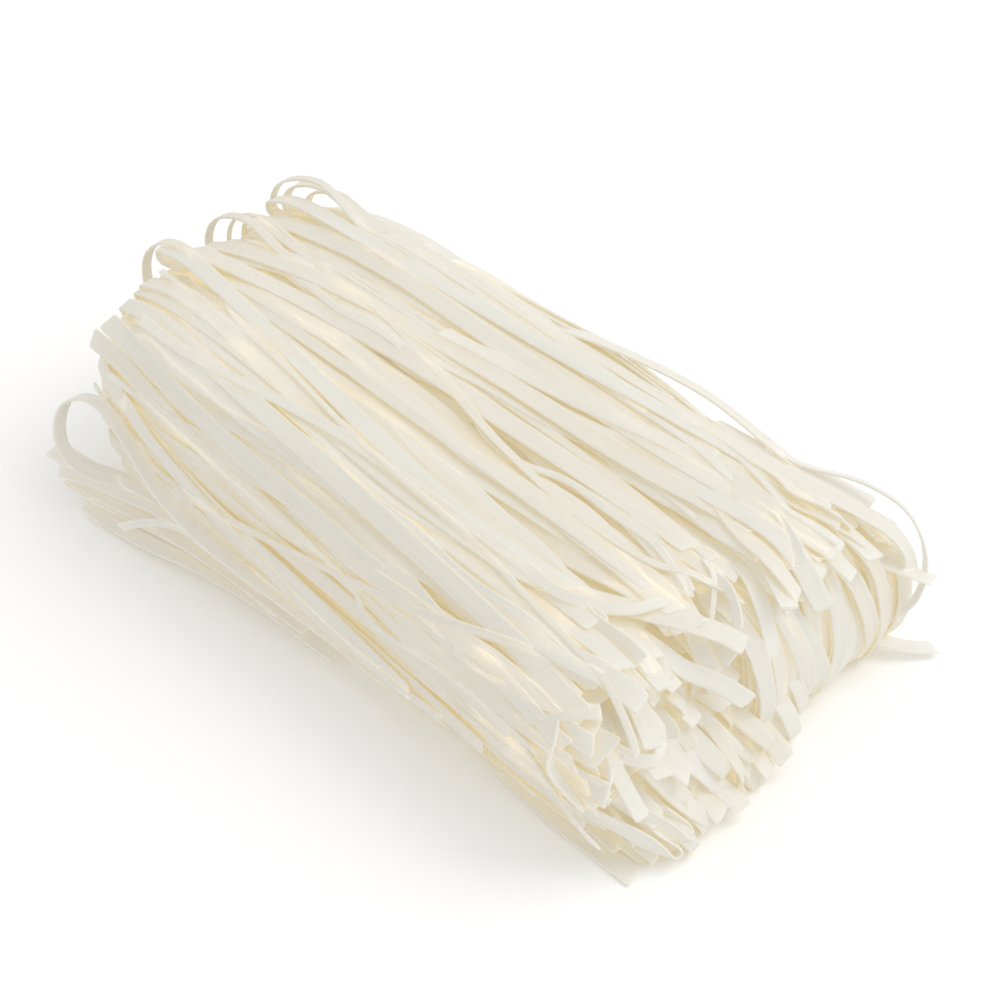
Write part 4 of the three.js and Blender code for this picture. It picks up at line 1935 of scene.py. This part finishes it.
@dataclass(frozen=True)
class FloorFinish:
    """A plain white sweep.

    Args:
        white: its colour.
        glow_strength: how strongly it glows, evenly, as if lit from behind.
    """

    white: str = "#FAFAFA"
    glow_strength: float = 0.03

    def material(self) -> bpy.types.Material:
        """Makes it: near white and without any shine, so that only soft shadows draw the floor.

        Returns:
            The material.
        """
        material, nodes = fresh_material("white_sweep")
        white = srgb_to_linear(self.white)
        skin = nodes.add("ShaderNodeBsdfPrincipled", {
            "Base Color": white, "Roughness": 0.9, "Specular IOR Level": 0.0,
            "Emission Color": white, "Emission Strength": self.glow_strength,
        })
        nodes.add("ShaderNodeOutputMaterial", {"Surface": skin})
        return material


# ---------------------------------------------------------------------------- the studio


@dataclass
class Studio:
    """The floor, the lights and the camera.

    Args:
        target: what the camera looks at.
        azimuth: the camera's turn round the bundle, in degrees.
        elevation: its height over the horizon, in degrees.
        distance: how far away it is.
        lens: its focal length.
        sky: the strength of the even light from all around.
        sky_tilt: how much more of it comes from the cut end, from the far side and from above.
        sky_colour: its colour.
        key: the power of the soft light from above, in watts.
        key_place: where that light hangs, in metres.
        key_size: its side, in metres.
        floor_size: the floor's side, in metres.
        film: the camera's film width.
    """

    target: Point = (7.0, 6.0, 22.0)
    azimuth: float = 45.0
    elevation: float = 42.0
    distance: float = 721.5
    lens: float = 100.0
    sky: float = 0.895
    sky_tilt: Point = (0.05, 0.09, 0.0)
    sky_colour: str = "#FFFFFF"
    key: float = 6.0
    key_place: Point = (0.55, 0.75, 1.25)
    key_size: float = 0.9
    floor_size: float = 8.0
    film: float = 36.0

    def place_floor(self, finish: FloorFinish) -> None:
        """Lays the floor under the bundle.

        Args:
            finish: what it is made of.
        """
        bpy.ops.object.select_all(action="DESELECT")
        bpy.ops.mesh.primitive_plane_add(size=self.floor_size, location=(0, 0, 0))
        floor = bpy.context.active_object
        floor.name = "floor"
        floor.data.materials.append(finish.material())

    def place_key(self) -> None:
        """Hangs the square soft light, looking at the bundle."""
        bpy.ops.object.select_all(action="DESELECT")
        bpy.ops.object.light_add(type="AREA", location=self.key_place)
        lamp = bpy.context.active_object
        lamp.name = "key"
        lamp.data.shape = "SQUARE"
        lamp.data.size = self.key_size
        lamp.data.energy = self.key
        aim = Vector(self.target) * MM - Vector(self.key_place)
        lamp.rotation_euler = aim.to_track_quat("-Z", "Y").to_euler()

    def light(self) -> None:
        """Sets the even light, a little brighter from two sides, and the soft key."""
        world = bpy.data.worlds.new("studio")
        world.use_nodes = True
        nodes = Nodes(world.node_tree)
        way = nodes.add("ShaderNodeTexCoord").outputs["Generated"]
        tilt = nodes.add("ShaderNodeVectorMath", {0: way, 1: self.sky_tilt}, operation="DOT_PRODUCT")
        links = {0: tilt.outputs["Value"], 1: self.sky}
        strength = nodes.add("ShaderNodeMath", links, operation="ADD")
        sky = nodes.add("ShaderNodeBackground", {
            "Color": srgb_to_linear(self.sky_colour), "Strength": strength,
        })
        nodes.add("ShaderNodeOutputWorld", {"Surface": sky})
        scene = bpy.context.scene
        scene.world = world
        self.place_key()
        scene.view_settings.view_transform = "Standard"
        scene.view_settings.look = "None"

    def place_camera(self) -> None:
        """Sets the camera up, on the sphere round its target."""
        turn, rise = math.radians(self.azimuth), math.radians(self.elevation)
        back = Vector((
            math.sin(turn) * math.cos(rise), -math.cos(turn) * math.cos(rise), math.sin(rise),
        ))
        bpy.ops.object.select_all(action="DESELECT")
        bpy.ops.object.camera_add(location=(Vector(self.target) + back * self.distance) * MM)
        camera = bpy.context.active_object
        camera.rotation_euler = (-back).to_track_quat("-Z", "Y").to_euler()
        camera.data.lens = self.lens
        camera.data.sensor_width = self.film
        bpy.context.scene.camera = camera


# ---------------------------------------------------------------------------- the bundle

TOP_LAYERS = (
    TopLayer(19, -9.0, 0.08, (68, 80), (6, 18), (0.03, 0.06), (86, 92), (2.0, 4.0)),
    TopLayer(18, -8.0, 0.10, (70, 82), (6, 20), (0.02, 0.05), (88, 94), (2.0, 5.0)),
    TopLayer(16, -7.0, 0.13, (72, 84), (6, 20), (0.01, 0.04), (90, 97), (1.5, 5.0)),
    TopLayer(13, -6.0, 0.18, (74, 86), (4, 20), (0.002, 0.04), (92, 100), (1.2, 4.0)),
    TopLayer(9, -5.0, 0.25, (74, 87), (4, 18), (-0.006, 0.03), (94, 102), (1.2, 4.0)),
)
PARTINGS = (
    Parting(88, 1, 36, 9.0),
    Parting(5, -3, 95, 5.5),
    Parting(-45, -36, 40, 2.0),
    Parting(-55, -17, 30, 2.0),
    Parting(0, -31, 40, 2.5),
    Parting(-40, 24, 60, 2.0),
    Parting(45, 28, 50, 2.0),
)
CUT_END_TIERS = (
    EndTier(21, -47, 53, 3.6, (34, 38), (1, 4), (3, 5)),
    EndTier(11, 0, 53, 2.8, (33, 38), (1, 8), (3, 5)),
    EndTier(11, 2, 53, 2.0, (33, 37), (1, 5), (3, 5)),
    EndTier(11, 2, 54, 1.2, (33, 37), (1, 2), (3, 5)),
    EndTier(9, 3, 54, 0.5, (33, 37), (1, 2), (3, 5)),
)
TIP_ROWS = (
    TipRow(9, (96, 102), (2, 4), (0.1, 0.3), 0.5, -45, -4),
    TipRow(9, (101.5, 107), (1.6, 5), (0.25, 0.5), 0.6, -43, -4),
    TipRow(10, (88, 99), (7, 13), (0.2, 0.5), 0.4, -49, -4),
    TipRow(10, (86, 100), (12, 20), (0.2, 0.6), 0.3),
    TipRow(10, (84, 98), (19, 27), (0.1, 0.5), 0.3),
    TipRow(9, (107.5, 112), (1.8, 5), (0.6, 1.0), 0.7, -38, 2),
    TipRow(9, (100.5, 108.5), (6, 14), (0.5, 1.1), 0.6, -45, -2),
    TipRow(9, (90, 102), (13, 23), (0.4, 1.0), 0.3, -48, -6),
    TipRow(9, (86, 100), (21, 32), (0.2, 0.8), 0.2, -49, -4),
    TipRow(8, (84, 98), (27, 36), (0, 0.6), 0.1, -49, -3),
    TipRow(5, (96, 104), (14, 26), (0.3, 1.0), 0.2, -45, -10),
    TipRow(4, (86, 96), (24, 33), (0.1, 0.8), 0.2, -8, 5),
)
FOLDED_END_TIERS = (
    EndTier(20, -0.9, 0.92, 12.6, (60, 84), (-1.2, -0.95), (2, 4)),
    EndTier(20, -0.9, 0.92, 11.6, (52, 80), (-1.1, -0.6), (2, 4)),
    EndTier(20, -0.88, 0.92, 10.5, (45, 76), (-0.96, 0.1), (3, 6)),
    EndTier(18, -0.86, 0.9, 9.5, (45, 72), (-0.9, 0.4), (3, 6)),
)


@dataclass
class NoodleBundle:
    """The whole bundle: its core and its families of strands.

    Args:
        form: its form.
        pieces: its finished pieces.
    """

    form: BundleForm = field(default_factory=BundleForm)
    pieces: list[bpy.types.Object] = field(default_factory=list)

    def keep(self, piece: bpy.types.Object, finish: bpy.types.Material) -> None:
        """Gives a piece its finish and its place in the frame.

        Args:
            piece: the piece.
            finish: its material.
        """
        piece.data.materials.append(finish)
        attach(piece, BODY)
        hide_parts(CAD_NODE)
        self.pieces.append(piece)
        LOG.info("%s: %d faces", piece.name, len(piece.data.polygons))

    def build(self) -> None:
        """Builds the core and then every family of strands, from the inside out."""
        bed = Bed(self.form)
        core = Core(self.form)
        core.build(bed)
        self.keep(core.piece, CoreFinish().material())
        noodle = NoodleFinish().material()
        # A lighter copy for the strands clear of the body: its tan is the painted shade of buried
        # strands, its painted glow weaker.
        single = NoodleFinish(
            name="single_rice_noodle", ivory="#CFCDC8", cream="#CFCBC0", tan="#CDC6B4",
            bleached="#D9D8D4", painted_glow_open="#72706A", painted_glow_buried="#8C877A",
            painted_glow_deepest="#827C6A",
        ).material()
        weaver = Weaver(self.form, bed)
        crossing = tuple(strand for strand in LOOSE if strand.rests)
        clear = tuple(strand for strand in LOOSE if not strand.rests)
        families = (
            Underside(weaver, "underside_strands"),
            CutEndStrands(weaver, "cut_end_strands", CUT_END_TIERS),
            NearEndStrands(weaver, "near_end_strands", TIP_ROWS),
            FoldedEndStrands(weaver, "folded_end_strands", FOLDED_END_TIERS),
            SideStrands(
                weaver, "near_side_strands", -1, starts=(97.0, 108.0), low_starts_later=7.0,
            ),
            SideStrands(weaver, "far_side_strands", 1, starts=(97.0, 110.0)),
            TopStrands(weaver, "top_strands", TOP_LAYERS, PARTINGS),
            LooseStrands(weaver, "crossing_strands", crossing, ARCHES),
            LooseStrands(weaver, "loose_strands", clear),
        )
        for family in families:
            family.build()
        for family in families:
            finish = single if family.name == "loose_strands" else noodle
            self.keep(family.mesher.build(family.name, bed.tree), finish)


def corners(bounds: tuple[Vector, Vector]) -> list[list[float]]:
    """A box's two corners as plain lists."""
    return [[float(v) for v in corner] for corner in bounds]


def main() -> None:
    """Loads the frame, builds and dresses the bundle, and sets up the studio."""
    logging.basicConfig(level=logging.INFO, format="%(name)s: %(message)s")
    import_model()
    NoodleBundle().build()
    studio = Studio()
    studio.place_floor(FloorFinish())
    studio.light()
    studio.place_camera()
    bpy.context.view_layer.update()


if __name__ == "__main__":
    main()
